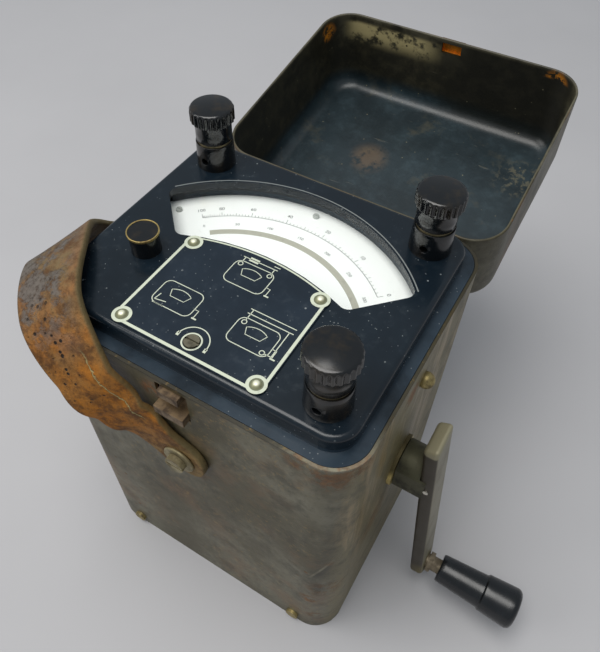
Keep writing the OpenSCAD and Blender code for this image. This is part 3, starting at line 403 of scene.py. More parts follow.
def dial_enamel(name, colour):
    """White enamelled dial with a faint yellowing and foxing."""
    paint, place = start_paint(name)
    cloud = place.noise(35)
    aged = scaled(colour, (0.93, 0.91, 0.82))
    tone = layers(colour, (cloud.rise(0.5, 0.8) * 0.5, aged), (place.specks(300, 0.1) * 0.35, scaled(aged, 0.5)))
    return end_paint(paint, place, tone, {"Roughness": 0.42 + 0.1 * cloud, "Specular IOR Level": 0.4})


def printed_line(name, colour):
    """Raised print on a plate, a little rubbed."""
    paint, place = start_paint(name)
    rub = place.noise(400, 4, 0.65)
    tone = blend(rub.rise(0.55, 0.75) * 0.6, colour, scaled(colour, 0.55))
    return end_paint(paint, place, tone, {"Roughness": 0.45 + 0.2 * rub, "Metallic": 0.0})


def clear_glass(name):
    """Thin clear glass: it shows what is behind it, and reflects a little more at a flat angle."""
    paint, place = start_paint(name)
    smear = place.noise(60)
    clear = place.node("ShaderNodeBsdfTransparent", {}, {"Color": (0.99, 0.995, 0.99, 1)})
    shine = place.node("ShaderNodeBsdfGlossy", {}, {"Color": (1, 1, 1, 1), "Roughness": 0.04})
    facing = place.node("ShaderNodeLayerWeight", {}, {"Blend": 0.5}, "Facing")
    share = 0.02 + 0.3 * facing ** 4.0 + smear.rise(0.6, 0.9) * 0.01
    mixed = place.node("ShaderNodeMixShader", {}, {0: share, 1: clear, 2: shine})
    place.node("ShaderNodeOutputMaterial", {}, {"Surface": mixed})
    return paint


def strap_leather(name, colour, deep, dull, grey, cut):
    """Old harness leather: orange low down, dull above, grey where the grain is gone, pitted, dark cut edges."""
    paint, place = start_paint(name)
    lay = place.node("ShaderNodeAttribute", {"attribute_name": "lay"}, out="Vector")
    along, across, edge = (lay.axis(k) for k in "XYZ")
    broad = place.noise(38, 5, 0.65)
    mottle = place.noise(150, 6, 0.7)
    grain = place.noise(520, 5, 0.7)
    pores = place.noise(1300, 3)
    pit_black = (0.012, 0.008, 0.006)
    olive = place.noise(48, 5, 0.68).rise(0.42, 0.62) * (0.3 + 0.3 * along.rise(0.05, 0.1))
    bald = place.noise(70, 6, 0.74).rise(0.46, 0.55) * across.rise(1.0, 0.3)
    bald = bald * along.rise(0.064, 0.096) * along.rise(0.2, 0.17)
    middle = along.rise(0.046, 0.054) * along.rise(0.112, 0.08) * abs(across + 0.25).rise(0.8, 0.3)
    pits = place.specks(340, 0.27) * place.noise(90, 3).rise(0.4, 0.5) * middle
    wander = place.noise(120)
    crack = abs(across - 0.5 + (wander - 0.5) * 0.5).rise(0.036, 0.008) * along.rise(0.034, 0.038)
    crack = crack * along.rise(0.074, 0.066)
    tone = layers(
        colour, (along.rise(0.05, 0.125), dull), (olive, scaled(cut, 1.25)),
        (along.rise(0.034, 0.012) * 0.75, scaled(cut, 1.5)), (mottle.rise(0.4, 0.64) * 0.85, deep),
        (bald * 0.9, blend(grain.rise(0.4, 0.66), grey, scaled(grey, 0.55))),
        (grain.rise(0.5, 0.72) * 0.5, scaled(deep, 0.5)), (broad.rise(0.55, 0.8) * 0.4, scaled(deep, 0.6)),
        (pits.most(place.specks(420, 0.12) * mottle.rise(0.52, 0.66) * 0.6), pit_black),
        (crack * 0.85, scaled(cut, 3.2)), (edge * (0.6 + 0.4 * broad), cut))
    relief = mottle * 0.9 + grain * 0.5 + pores * 0.3 - pits * 1.5 - bald * 0.6 - crack
    return end_paint(paint, place, tone, {
        "Roughness": 0.64 + 0.2 * mottle + 0.1 * bald, "Specular IOR Level": 0.28,
        "Normal": relief.bump(0.75, 0.0009)})


def lid_lining(name, colour, brown, pale, orange):
    """Inside of the lid: gloss blue-black floor, brown walls, olive and worn bare along the far wall; painted orange
    glints near the far corners and painted reflection in pale patches on the right wall.
    """
    paint, place = start_paint(name)
    x, y, z = (place.axis(k) for k in "XYZ")
    hinge_y, hinge_z, tilt_sin, tilt_cos = 0.0655, 0.17, 0.1736, 0.9848
    back, up = y - hinge_y, z - hinge_z
    depth = back * tilt_sin - up * tilt_cos
    reach = back * tilt_cos + up * tilt_sin
    broad = place.noise(26, 5, 0.65)
    mottle = place.noise(120, 6, 0.7)
    wall = depth.rise(0.043, 0.034)
    far = reach.rise(0.118, 0.1215)
    stained = blend(mottle.rise(0.42, 0.7), brown, scaled(brown, 2.4))
    stain = place.near((-0.0217, 0.1436, 0.1353), 0.004, 0.014) * mottle.rise(0.38, 0.52)
    dry = place.near((0.059, 0.165, 0.139), 0.004, 0.018) * place.noise(220, 5, 0.7).rise(0.5, 0.58)
    scuff = place.noise(300, 3, 0.6, (0.15, 1, 1)).rise(0.68, 0.76) * broad.rise(0.42, 0.58)
    olive = far * depth.rise(0.022, 0.006) * place.noise(70, 6, 0.7).rise(0.42, 0.6)
    left = x.rise(-0.002, -0.02) * x.rise(-0.066, -0.058)
    bare = far * left * depth.rise(0.02, 0.01) * depth.rise(0.003, 0.006) * place.noise(95, 5, 0.65).rise(0.38, 0.5)
    # Painted orange glints near the far corners of the rim.
    right_glint = place.near((0.058, 0.19, 0.184), 0.004, 0.009) * depth.rise(0.006, 0.004)
    orange_glints = place.near((-0.0705, 0.178, 0.182), 0.002, 0.007).most(right_glint)
    orange_glints = orange_glints * place.noise(200, 5, 0.65).rise(0.42, 0.54)
    tone = layers(
        colour, (mottle.rise(0.45, 0.75) * 0.5, scaled(colour, 2.2)),
        (broad.rise(0.42, 0.6) * 0.65, scaled(colour, 0.5)),
        (place.noise(48, 5, 0.68).rise(0.55, 0.7) * 0.3, scaled(pale, 0.5)),
        (stain * 0.5, scaled(pale, (0.75, 0.55, 0.5))), (dry * 0.4, scaled(pale, 0.9)), (wall * 0.95, stained),
        # Painted reflection: pale mottled patches on the right wall; pale scuffs after it.
        (wall * x.rise(0.066, 0.07) * mottle.rise(0.3, 0.6) * 0.5, scaled(pale, 0.6)), (scuff * 0.25, pale),
        (far * x.rise(-0.012, 0.012) * 0.7, scaled(brown, 0.4)),
        (olive * x.rise(0.02, -0.02) * 0.6, scaled(pale, 0.45)),
        (bare * 0.95, scaled(pale, (2.0, 1.85, 1.4))), (bare * place.specks(260, 0.2), brown),
        (place.specks(170, 0.08) * mottle.rise(0.42, 0.56) * 0.8, pale),
        (depth.rise(0.0022, 0.0006) * broad.rise(0.35, 0.6) * 0.6, scaled(pale, 0.5)), (orange_glints, orange))
    rough = 0.24 + 0.2 * mottle + 0.3 * bare + 0.16 * wall
    return end_paint(paint, place, tone, {
        "Roughness": rough, "Specular IOR Level": 0.5, "Normal": (mottle + bare + scuff).bump(0.2, 0.0006)})


def arm_metal(name, box, colour, front, end, stain):
    """Crank arm: grey bronze, its front face darker as painted shade, its cut end paler as painted light, and stained
    by the grip.
    """
    paint, place = start_paint(name)
    low, high = (MM * corner for corner in box)
    y, z = place.axis("Y"), place.axis("Z")
    patches = place.noise(70, 5, 0.65)
    fine = place.noise(600, 4, 0.65)
    by_grip = place.near((high[0], low[1] + 0.006, low[2] + 0.008), 0.004, 0.013) * patches.rise(0.3, 0.5)
    # Painted shade on the front face and painted light on the top end, then the stain by the grip.
    tone = layers(colour, (patches.rise(0.4, 0.7), scaled(colour, 0.72)),
                  (y.rise(low[1] + 0.0012, low[1] + 0.0005) * 0.95, front),
                  (z.rise(high[2] - 0.0056, high[2] - 0.0044) * 0.9, end), (by_grip * 0.8, stain),
                  (fine.rise(0.6, 0.75) * 0.4, scaled(front, 0.4)))
    return end_paint(paint, place, tone, {
        "Roughness": 0.42 + 0.2 * patches, "Metallic": 0.3, "Normal": (fine + patches).bump(0.15, 0.0003)})


def rivet_heads(name, centres, highlight_tone, ground):
    """Rivet heads: a painted highlight on each crown over a dull foot."""
    paint, place = start_paint(name)
    crown_highlight = None
    for centre in centres:
        spot = place.near(scaled(centre, MM), 0.0007, 0.0016)
        crown_highlight = spot if crown_highlight is None else crown_highlight.most(spot)
    fine = place.noise(900, 4, 0.65)
    # Painted highlight: a bright spot at each rivet's crown.
    tone = blend(crown_highlight * (0.8 + 0.2 * fine), ground, highlight_tone)
    return end_paint(paint, place, tone, {"Roughness": 0.36 + 0.2 * fine, "Metallic": 0.35})


def plain_floor(name, colour):
    """Pale grey table with faint marks."""
    paint, place = start_paint(name)
    cloud = place.noise(3)
    tone = blend(cloud.rise(0.3, 0.8), colour, scaled(colour, 0.93))
    return end_paint(paint, place, tone, {"Roughness": 0.7, "Specular IOR Level": 0.2})


def put_on(paint, *nodes):
    """Gives CAD nodes a material in their own slots."""
    for node in nodes:
        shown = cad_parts[node]
        if not shown.material_slots:
            shown.data.materials.append(paint)
        for place in shown.material_slots:
            place.material = paint


def soften(width, *nodes):
    """Rounds the edges of CAD nodes by a width in millimetres with modifiers."""
    for node in nodes:
        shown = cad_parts[node]
        shown.modifiers.new("join", "WELD").merge_threshold = 1e-6
        round_off = shown.modifiers.new("round", "BEVEL")
        round_off.width = width * MM
        round_off.segments = 3
        round_off.limit_method = "ANGLE"
        round_off.angle_limit = np.radians(40)
        round_off.use_clamp_overlap = True
        round_off.harden_normals = True


# Values that a user would change

def colour_value(name, description, *seen):
    return FloatVectorProperty(name=name, description=description, subtype="COLOR", size=3, min=0, max=1,
                               default=tint(*seen))


def length_value(name, description, default):
    return FloatProperty(name=name, description=description, unit="LENGTH", subtype="DISTANCE", default=default)


class TesterColours(bpy.types.PropertyGroup):
    """Colours of the finishes."""
    enamel: colour_value("Enamel", "Olive enamel of the case and lid", 70, 64, 41)
    haze: colour_value("Haze", "Enamel where it is rubbed and hazy", 106, 102, 84)
    rust: colour_value("Rust", "Rust where the enamel is gone", 132, 82, 38)
    panel: colour_value("Panel", "Moulded top panel", 14, 24, 32)
    dust: colour_value("Dust", "Dust and dry scratches on dark pieces", 150, 156, 156)
    bakelite: colour_value("Bakelite", "Caps, terminal bases, button and spools", 11, 14, 17)
    glow: colour_value("Bakelite streaks", "Brown streaks in the bakelite", 38, 31, 21)
    brass: colour_value("Brass", "Bright brass", 196, 160, 88)
    tarnish: colour_value("Tarnish", "Tarnished brass", 104, 84, 48)
    steel: colour_value("Steel", "Bare steel", 160, 156, 146)
    grime: colour_value("Grime", "Grime on steel", 88, 80, 66)
    dial: colour_value("Dial", "White of the dial", 252, 254, 252)
    print: colour_value("Print", "Cream print of the name plate", 200, 206, 186)
    ink: colour_value("Ink", "Dark print of the dial", 84, 84, 86)
    leather: colour_value("Leather", "Strap leather low down", 164, 101, 20)
    leather_deep: colour_value("Deep leather", "Dark parts of the strap leather", 80, 50, 22)
    leather_dull: colour_value("Dull leather", "Upper part of the strap", 112, 89, 66)
    leather_grey: colour_value("Worn leather", "Strap where its grain is gone", 100, 95, 90)
    leather_cut: colour_value("Cut leather", "Edges of the strap", 92, 84, 56)
    lining: colour_value("Lining", "Inside of the lid", 36, 48, 53)
    floor: colour_value("Floor", "Table under the object", 184, 183, 185)


class TesterSizes(bpy.types.PropertyGroup):
    """Sizes of the dressed pieces."""
    strap_width: length_value("Strap width", "Width of the leather", 28 * MM)
    strap_thickness: length_value("Strap thickness", "Thickness of the leather", 3.2 * MM)
    tongue_width: length_value("Tongue width", "Width of the strap's ends", 23 * MM)
    knurls: IntProperty(name="Knurls", description="Ribs round a terminal cap", default=24, min=8, max=48)
    print_lift: length_value("Print lift", "Height of the print over its plate", 0.04 * MM)


def colours():
    """The colours that are set, as plain tuples."""
    group = bpy.context.scene.tester_colours
    return SimpleNamespace(**{name: tuple(getattr(group, name)) for name in TesterColours.__annotations__})


def sizes():
    return bpy.context.scene.tester_sizes


def worn_case_spots():
    """Rusty places of the case: centre, reach and strength, in millimetres."""
    return [((63, -58, 176), 14, 0.55), ((50, -59, 177), 7, 0.5), ((69, -50, 176), 9, 0.6), ((58, -59, 44), 6, 0.8),
            ((66, -58, 60), 14, 0.35), ((62, -59, 20), 6, 0.6), ((-9, -59, 171), 7, 0.7), ((70, -12, 168), 8, 0.8),
            ((70, -22, 80), 18, 0.3), ((4, -59, 122), 9, 0.35), ((67, -58, 95), 5, 0.75)]


# Operators

def stand(shown, right, up, back, place):
    """Puts an object into the scene at a place in metres, with its axes to the right, up and back."""
    turn = np.eye(4)
    turn[:3] = np.column_stack([right, up, back, place])
    shown.matrix_world = Matrix(turn.tolist())
    bpy.context.scene.collection.objects.link(shown)


class TESTER_OT_stage(bpy.types.Operator):
    """Floor, lamps, world and the camera at the photographed angle."""
    bl_idname = "tester.stage"
    bl_label = "Stage"

    def execute(self, context):
        side = 3.0
        mesh = bpy.data.meshes.new("floor")
        mesh.from_pydata([(-side, -side, 0), (side, -side, 0), (side, side, 0), (-side, side, 0)], [], [(0, 1, 2, 3)])
        mesh.materials.append(plain_floor("table_grey", colours().floor))
        floor = bpy.data.objects.new("floor", mesh)
        context.scene.collection.objects.link(floor)

        world = bpy.data.worlds.new("soft_room")
        world.use_nodes = True
        room = world.node_tree.nodes["Background"]
        room.inputs["Color"].default_value = (0.89, 0.96, 1.03, 1)
        room.inputs["Strength"].default_value = 0.38
        context.scene.world = world

        aim = np.array([0, 0, 0.1])
        lamps = ("overhead", (-0.18, -0.22, 1.5), 1.0, 17.0), ("left", (-1.3, -0.9, 1.1), 0.9, 8.0)
        for name, place, width, power in lamps:
            lamp = bpy.data.lights.new(name, "AREA")
            lamp.size = width
            lamp.energy = power
            lamp.color = (1.0, 0.985, 0.955)
            back = unit(np.array(place) - aim)
            right = unit(np.cross((0, 0, 1), back))
            stand(bpy.data.objects.new(name, lamp), right, np.cross(back, right), back, place)

        lens = bpy.data.cameras.new("camera")
        lens.sensor_width = 36.0
        lens.lens = 35.31
        lens.shift_x = 0.008
        lens.shift_y = -0.0353
        lens.clip_start = 0.01
        camera = bpy.data.objects.new("camera", lens)
        right = np.array([0.85794, 0.51367, 0.00961])
        down = np.array([0.39758, -0.65198, -0.64564])
        ahead = np.array([-0.32538, 0.55774, -0.76358])
        stand(camera, right, -down, -ahead, np.array([95.11, -138.80, 362.74]) * MM)
        context.scene.camera = camera
        context.scene.view_settings.view_transform = "Standard"
        return {"FINISHED"}


class TESTER_OT_case(bpy.types.Operator):
    """Enamel, rust and fittings of the case."""
    bl_idname = "tester.case"
    bl_label = "Case"

    def execute(self, context):
        c = colours()
        put_on(worn_enamel("case_enamel", c.enamel, c.haze, c.rust, worn_case_spots(),
                           tint(112, 102, 67), tint(150, 120, 60)),
               "case_shell", "base_plate", "case_hinge_leaves")
        # The crank bush's upper part gets painted shade.
        bush_z = sum(corner[2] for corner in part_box("crank_bush")) / 2
        brass = old_metal("fitting_brass", tint(226, 204, 132), tint(152, 134, 84), 0.8, 0.3, shaded_from=bush_z + 0.002)
        put_on(brass, "crank_bush")
        put_on(old_metal("screw_brass", tint(160, 144, 96), tint(96, 84, 54), 0.7, 0.36, 220),
               "panel_screws", "base_screws", "hinge_pins")
        put_on(old_metal("strap_fitting", tint(140, 130, 98), tint(98, 88, 62), 0.45, 0.42, 140),
               "strap_studs", "strap_washers")
        put_on(old_metal("catch_copper", tint(114, 94, 68), tint(62, 46, 30), 0.45, 0.4, 160),
               "lid_catch", "catch_bracket")
        soften(0.5, "strap_washers", "strap_studs", "lid_catch")
        return {"FINISHED"}


class TESTER_OT_panel(bpy.types.Operator):
    """Moulded panel, its window with a painted highlight along the rear edge, the zero adjuster and the dial's screws.
    """
    bl_idname = "tester.panel"
    bl_label = "Panel"

    def execute(self, context):
        c = colours()
        put_on(satin_panel("moulded_panel", c.panel, c.dust, tint(50, 64, 76)), "top_panel")
        soften(0.7, "top_panel")
        put_on(clear_glass("window_clear"), "window_glass")
        put_on(old_metal("adjuster_steel", tint(104, 100, 84), tint(66, 62, 48), 0.6, 0.4, 300), "zero_adjuster")
        put_on(old_metal("small_screws", tint(196, 200, 196), tint(150, 152, 146), 0.3, 0.4), "dial_screws")
        # Painted highlight: a pale line along the window's rear edge on the panel top.
        rear_r, first, last, edge_w, lift = 72.0, -50.5, 51.5, 0.5, 0.03
        edge = ribbon(arc(DIAL_PIVOT, rear_r, first, last, 90), edge_w)
        print_flat("window_edge", [edge], box_mm("name_plate")[0][2] + lift, "panel_bakelite",
                   printed_line("worn_edge", tint(120, 124, 122)))
        return {"FINISHED"}


def dial_numbers(words):
    """Numbers as flat parts, each turned to stand on the arc of its radius at its angle."""
    parts = []
    for word, radius, size, angle in words:
        line = bpy.data.curves.new("number", "FONT")
        line.body, line.size = word, size
        line.align_x, line.align_y = "CENTER", "CENTER"
        shown = bpy.data.objects.new("number", line)
        flat = shown.to_mesh()
        corner = np.zeros(len(flat.vertices) * 3)
        flat.vertices.foreach_get("co", corner)
        corner = corner.reshape(-1, 3)
        turn = np.radians(angle)
        turned = corner[:, :1] * (np.cos(turn), -np.sin(turn)) + corner[:, 1:2] * (np.sin(turn), np.cos(turn))
        middle = arc(DIAL_PIVOT, radius, angle, angle, 1)[0]
        parts.append((turned + middle, [list(face.vertices) for face in flat.polygons]))
        shown.to_mesh_clear()
        bpy.data.objects.remove(shown)
        bpy.data.curves.remove(line)
    return parts


class TESTER_OT_dial(bpy.types.Operator):
    """Dial: enamel, scale lines, plain numbers and the grey band."""
    bl_idname = "tester.dial"
    bl_label = "Dial"

    def execute(self, context):
        c = colours()
        put_on(dial_enamel("dial_enamel", c.dial), "dial_plate")
        put_on(old_metal("pointer_black", tint(30, 30, 30), tint(20, 20, 20), 0.2, 0.5), "pointer")
        ink = printed_line("dial_ink", c.ink)
        height = box_mm("dial_plate")[1][2] + sizes().print_lift / MM
        scale_r, first, last, crowding = 59.6, -43.0, 45.0, 1.35
        line_w, tick_w, long_tick, middle_tick, short_tick = 0.22, 0.18, 2.4, 1.7, 1.1
        share = np.linspace(0, 1, 61) ** crowding
        parts = [ribbon(arc(DIAL_PIVOT, scale_r, first, last, 80), line_w)]
        for k, part in enumerate(share):
            angle = first + (last - first) * part
            reach = long_tick if k % 10 == 0 else middle_tick if k % 5 == 0 else short_tick
            inner, outer = (arc(DIAL_PIVOT, r, angle, angle, 1)[0] for r in (scale_r, scale_r + reach))
            parts.append(ribbon([inner, outer], tick_w))
        print_flat("dial_scale", parts, height, "dial_white", ink)

        upper_r, upper_size, lower_r, lower_size = 64.2, 2.4, 54.4, 1.9
        words = [(str(n), upper_r, upper_size, first + (last - first) * share[k])
                 for n, k in ((100, 0), (80, 10), (60, 20), (40, 30), (20, 40), (10, 50), (0, 60))]
        words += [(str(n), lower_r, lower_size, first + (last - first) * k / 6)
                  for k, n in enumerate(range(0, 301, 50))]
        print_flat("dial_numbers", dial_numbers(words), height, "dial_white", ink)

        band_r, band_first, band_last, band_w, under = 50.1, -41, 49.5, 2.7, 0.02
        band = ribbon(arc(DIAL_PIVOT, band_r, band_first, band_last, 90), band_w)
        print_flat("dial_band", [band], height - under, "dial_white", printed_line("band_grey", tint(178, 176, 162)))
        return {"FINISHED"}


def plate_outline(low, high, inset):
    """The plate's edge moved in: straight sides, an arched rear edge and round corners."""
    arch_r, corner, corner_turn, straight = 90.4, 2.2, 1.6, 20
    rear_r, half, front = arch_r - inset, high[0] - inset, low[1] + inset
    centre = high[1] - arch_r
    tilt = np.degrees(np.arcsin(half / rear_r)) - corner_turn
    rear = arc((0, centre), rear_r, -tilt, tilt, 40)
    front_left = rounded_corner((-half + corner, front + corner), corner, 270, 180)
    front_right = rounded_corner((half - corner, front + corner), corner, 360, 270)
    side_y = centre + np.sqrt(rear_r ** 2 - half ** 2) - corner
    left = np.array([[-half, side_y - straight], [-half, side_y]])
    right = np.array([[half, side_y], [half, side_y - straight]])
    return np.vstack([front_left, left, rear, right, front_right])


def drawn_tester(middle):
    """A tester drawn from above: a box with round corners, its scale window and its crank."""
    x, y = middle
    half_w, half_d, corner = 8.4, 5.8, 2.6
    rim = rounded_box(half_w, half_d, corner) + middle
    scale = np.vstack([arc((x, y - 4), 7.6, -34, 34, 12), [[x + 3.0, y - 0.6], [x - 3.0, y - 0.6]]])
    crank = [[x + half_w, y - 1.2], [x + half_w + 1.8, y - 1.2], [x + half_w + 1.8, y - 4.6]]
    knob = [[x + half_w + 1.2, y - 4.8], [x + half_w + 3.2, y - 4.8]]
    return [ribbon(rim, 0.34, closed=True), ribbon(scale, 0.3, closed=True), ribbon(crank, 0.34), ribbon(knob, 0.6)]


def drawn_wiring():
    """Leads from the drawn terminals: a resistor over the first tester, a pair of mains at the third."""
    terminal_r, ring_w, lead_w, resistor_w = 0.9, 0.34, 0.36, 2.0
    terminals = (-6.4, -5.6), (6.4, -5.6), (10.4, -28.2), (22.8, -36.2)
    parts = [ring(place, terminal_r, ring_w, 24) for place in terminals]
    lines = [[[-6.4, -4.7], [-6.4, -1.8]], [[-7.4, -1.8], [7.6, -1.8]], [[6.4, -4.7], [6.4, -1.8]],
             [[5.4, -0.4], [8.0, -0.4]], [[9.2, -22.0], [28.0, -22.0]], [[9.2, -24.2], [28.0, -24.2]],
             [[10.4, -27.3], [10.4, -22.0]], [[26.4, -24.2], [26.4, -36.2]], [[26.4, -36.2], [23.7, -36.2]],
             [[-23.0, -36.0], [-18.4, -35.2]], [[-23.0, -37.4], [-18.2, -37.4]], [[-23.0, -36.0], [-22.4, -32.8]]]
    parts += [ribbon(line, lead_w) for line in lines]
    parts.append(ribbon([[-4.6, -1.8], [-0.6, -1.8]], resistor_w))
    return parts


class TESTER_OT_name_plate(bpy.types.Operator):
    """Name plate: navy ground, cream border, and plain outlines of how the tester is connected."""
    bl_idname = "tester.name_plate"
    bl_label = "Name plate"

    def execute(self, context):
        c = colours()
        put_on(satin_panel("plate_navy", tint(22, 32, 42), c.dust), "name_plate")
        low, high = box_mm("name_plate")
        lift = sizes().print_lift / MM
        height = high[2] + lift
        cream = printed_line("plate_cream", c.print)
        border = plate_outline(low, high, 0.9)
        front_w, rear_w = 1.15, 0.7
        parts = [ribbon(np.vstack([border[48:], border[:8]]), front_w), ribbon(border[7:49], rear_w)]
        inset, side = 3.2, 48.3
        rings, cores, crowns = [], [], []
        for x in (low[0] + inset, high[0] - inset):
            for y in (low[1] + inset, low[1] + side - inset):
                cores.append(ring((x, y), 1.3, 2.6))
                rings.append(ring((x, y), 3.05, 1.2))
                crowns.append((x, y, box_mm("name_plate_rivets")[1][2]))
        put_on(rivet_heads("rivet_nickel", crowns, tint(238, 238, 214), tint(150, 150, 118)), "name_plate_rivets")
        olive = printed_line("plate_ring_olive", tint(104, 108, 84))
        print_flat("rivet_grounds", cores, height + 0.5 * lift, "plate_print", olive)
        print_flat("rivet_rings", rings, height + lift, "plate_print", cream)
        for middle in ((0.0, -9.8), (-16.0, -31.5), (16.6, -32.0)):
            parts += drawn_tester(middle)
        parts += drawn_wiring()
        zero_low, zero_high = box_mm("zero_adjuster")
        zero = (zero_low + zero_high)[:2] / 2
        parts.append(ring(zero, 3.5, 0.6))
        turn_r, ends = 6.2, (-85, 98)
        parts.append(ribbon(arc(zero, turn_r, *ends, 40), 0.4))
        for angle in ends:
            tip = arc(zero, turn_r, angle, angle, 1)[0]
            parts.append(ribbon([tip + (0, 0.9), tip + (0, -0.9)], 1.1))
        print_flat("plate_print", parts, height, "plate_print", cream)
        return {"FINISHED"}


def knurled_cap(height, radius):
    """A cap turned about Z. Its head's radius falls by a raised cosine of the turn between its ribs."""
    bore, skirt, head, edge, dome = 2.6, radius - 1.6, 8.6, 1.7, 0.6
    turns = sizes().knurls * 8
    shoulder = height - dome - edge
    bend = np.radians(np.linspace(0, 90, 8))
    rows = [(0, height - 3), (bore, height - 3), (bore, 0), (skirt - 0.4, 0), (skirt, 0.4), (skirt, 4.0),
            (skirt, head - 0.5), (skirt + 0.2, head - 0.1), (radius - 0.45, head + 0.1), (radius, head + 0.5)]
    rows += [(radius, z) for z in np.linspace(head + 1.0, shoulder, 6)]
    rows += [(radius - edge + edge * np.cos(a), shoulder + edge * np.sin(a)) for a in bend[1:]]
    top = np.linspace(radius - edge, 0, 9)[1:]
    rows += [(r, height - dome * (r / (radius - edge)) ** 2) for r in top]
    profile = np.array(rows)[:, None, :].repeat(turns, 1)
    angle = 2 * np.pi * np.arange(turns) / turns
    groove = np.clip(0.5 - 0.5 * np.cos(sizes().knurls * angle), 0, 1) ** 1.3
    z = profile[:, :, 1]
    depth = np.clip((z - head + 0.1) / 0.5, 0, 1) * np.clip((shoulder + 0.75 * edge - z) / (0.75 * edge), 0, 1)
    profile[:, :, 0] -= 0.8 * groove * depth * (profile[:, :, 0] > skirt + 0.1)
    return lathe(profile)


class TESTER_OT_terminals(bpy.types.Operator):
    """Terminals: knurled caps with crowned tops, bakelite bases, brass washers and studs."""
    bl_idname = "tester.terminals"
    bl_label = "Terminals"

    def execute(self, context):
        c = colours()
        black = gloss_bakelite("cap_bakelite", c.bakelite, c.glow)
        brass = old_metal("terminal_brass", tint(150, 138, 106), tint(104, 94, 66), 0.8, 0.3, 160)
        put_on(black, "terminal_bases")
        soften(0.4, "terminal_bases")
        put_on(brass, "terminal_studs", "terminal_washer_1", "terminal_washer_2", "terminal_washer_3")
        for k in (1, 2, 3):
            node = f"terminal_cap_{k}"
            low, high = box_mm(node)
            points, faces = knurled_cap(high[2] - low[2], (high[0] - low[0]) / 2)
            points = points + np.array([(low[0] + high[0]) / 2, (low[1] + high[1]) / 2, low[2]])
            make_piece(f"knurled_cap_{k}", points, faces, f"cap_{k}", "bakelite", [black], [node], sharp=50)
        return {"FINISHED"}


def wound_spring(low, high):
    """A circle carried along a helix that fills the box of the spring."""
    wire, turns, steps, columns = 0.5, 9, 32, 8
    radius = (high[0] - low[0]) / 2 - wire
    around = np.linspace(0, 2 * np.pi * turns, turns * steps + 1)
    out = np.stack([np.cos(around), np.sin(around), 0 * around], -1)[:, None, :]
    rise = np.array([0.0, 0.0, 1.0])
    height = np.linspace(low[2] + wire, high[2] - wire, len(around))[:, None, None] * rise
    middle = np.array([(low[0] + high[0]) / 2, (low[1] + high[1]) / 2, 0.0])
    turn = 2 * np.pi * np.arange(columns)[None, :, None] / columns
    points = middle + height + radius * out + wire * (np.cos(turn) * out + np.sin(turn) * rise)
    return points.reshape(-1, 3), tube_faces(len(around), columns)


class TESTER_OT_button(bpy.types.Operator):
    """Push button with a brass ring, and its wound spring."""
    bl_idname = "tester.button"
    bl_label = "Button"

    def execute(self, context):
        c = colours()
        put_on(gloss_bakelite("button_bakelite", c.bakelite, c.glow), "push_button")
        put_on(old_metal("ring_brass", tint(180, 158, 100), c.tarnish, 0.8, 0.28, 260), "button_ring")
        soften(0.2, "button_ring")
        low, high = box_mm("button_spring")
        steel = old_metal("spring_steel", c.steel, c.grime, 0.9, 0.35)
        spring = make_piece("coil_spring", *wound_spring(low, high), "case", "steel", [steel], ["button_spring"],
                            sharp=60)
        length, press = high[2] - low[2], 3.0
        (length - press) / length
        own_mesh(spring)
        return {"FINISHED"}


def arm_bar():
    """Rounded rectangles stacked up the arm: a half circle at the foot, a slope at the top, then leaned out."""
    wide, thick, throw, top, edge = 16.5, 6.4, 86.0, 32.5, 1.7
    axis_x, axis_y, axis_z = 83.2, -4.0, 106.0
    lean, slope = np.radians(6.3), np.tan(np.radians(21))
    foot, bend = np.radians(np.linspace(-80, 0, 10)), np.radians(np.linspace(0, 90, 6))
    rows = [(wide / 2 * np.cos(a), 0.0, wide / 2 * np.sin(a) - throw, 0.0) for a in foot]
    rows += [(wide / 2, 0.0, z, 0.0) for z in np.linspace(6 - throw, top - 8, 10)]
    rows += [(wide / 2, edge - edge * np.cos(b), top - edge + edge * np.sin(b), slope) for b in bend]
    rings = []
    for half, inset, height, tilt in rows:
        corner = min(edge, 0.9 * half) - 0.9 * inset
        flat = rounded_box(thick / 2 - inset, half - inset, corner)
        rings.append(np.column_stack([flat, height - tilt * (thick / 2 - flat[:, 0])]))
    x, y, z = np.vstack(rings).T
    x = x + thick / 2
    points = np.stack([axis_x + x * np.cos(lean) - z * np.sin(lean), axis_y + y,
                       axis_z + x * np.sin(lean) + z * np.cos(lean)], -1)
    return points, tube_faces(len(rings), len(rings[0]))


class TESTER_OT_crank(bpy.types.Operator):
    """Crank: hub, arm, cross pin, spindle and the turned grip."""
    bl_idname = "tester.crank"
    bl_label = "Crank"

    def execute(self, context):
        c = colours()
        bronze = arm_metal("arm_bronze", box_mm("crank_arm"), tint(136, 130, 112), tint(54, 47, 36),
                           tint(144, 138, 112), tint(116, 102, 46))
        make_piece("crank_bar", *arm_bar(), "crank", "dark_steel", [bronze], ["crank_arm"], sharp=60)
        # The hub's bronze is darkened as painted shade.
        put_on(old_metal("hub_bronze", tint(76, 74, 54), tint(42, 40, 30), 0.5, 0.45, 80), "crank_hub")
        put_on(old_metal("pin_steel", tint(205, 200, 188), tint(150, 144, 130), 0.9, 0.25), "crank_pin")
        put_on(old_metal("spindle_rusty", tint(126, 114, 94), tint(84, 74, 58), 0.5, 0.42, 180), "grip_spindle")
        soften(0.4, "crank_hub")
        put_on(gloss_bakelite("grip_bakelite", tint(9, 13, 17), tint(18, 22, 26), 0.2), "crank_grip")
        soften(0.8, "crank_grip")
        return {"FINISHED"}


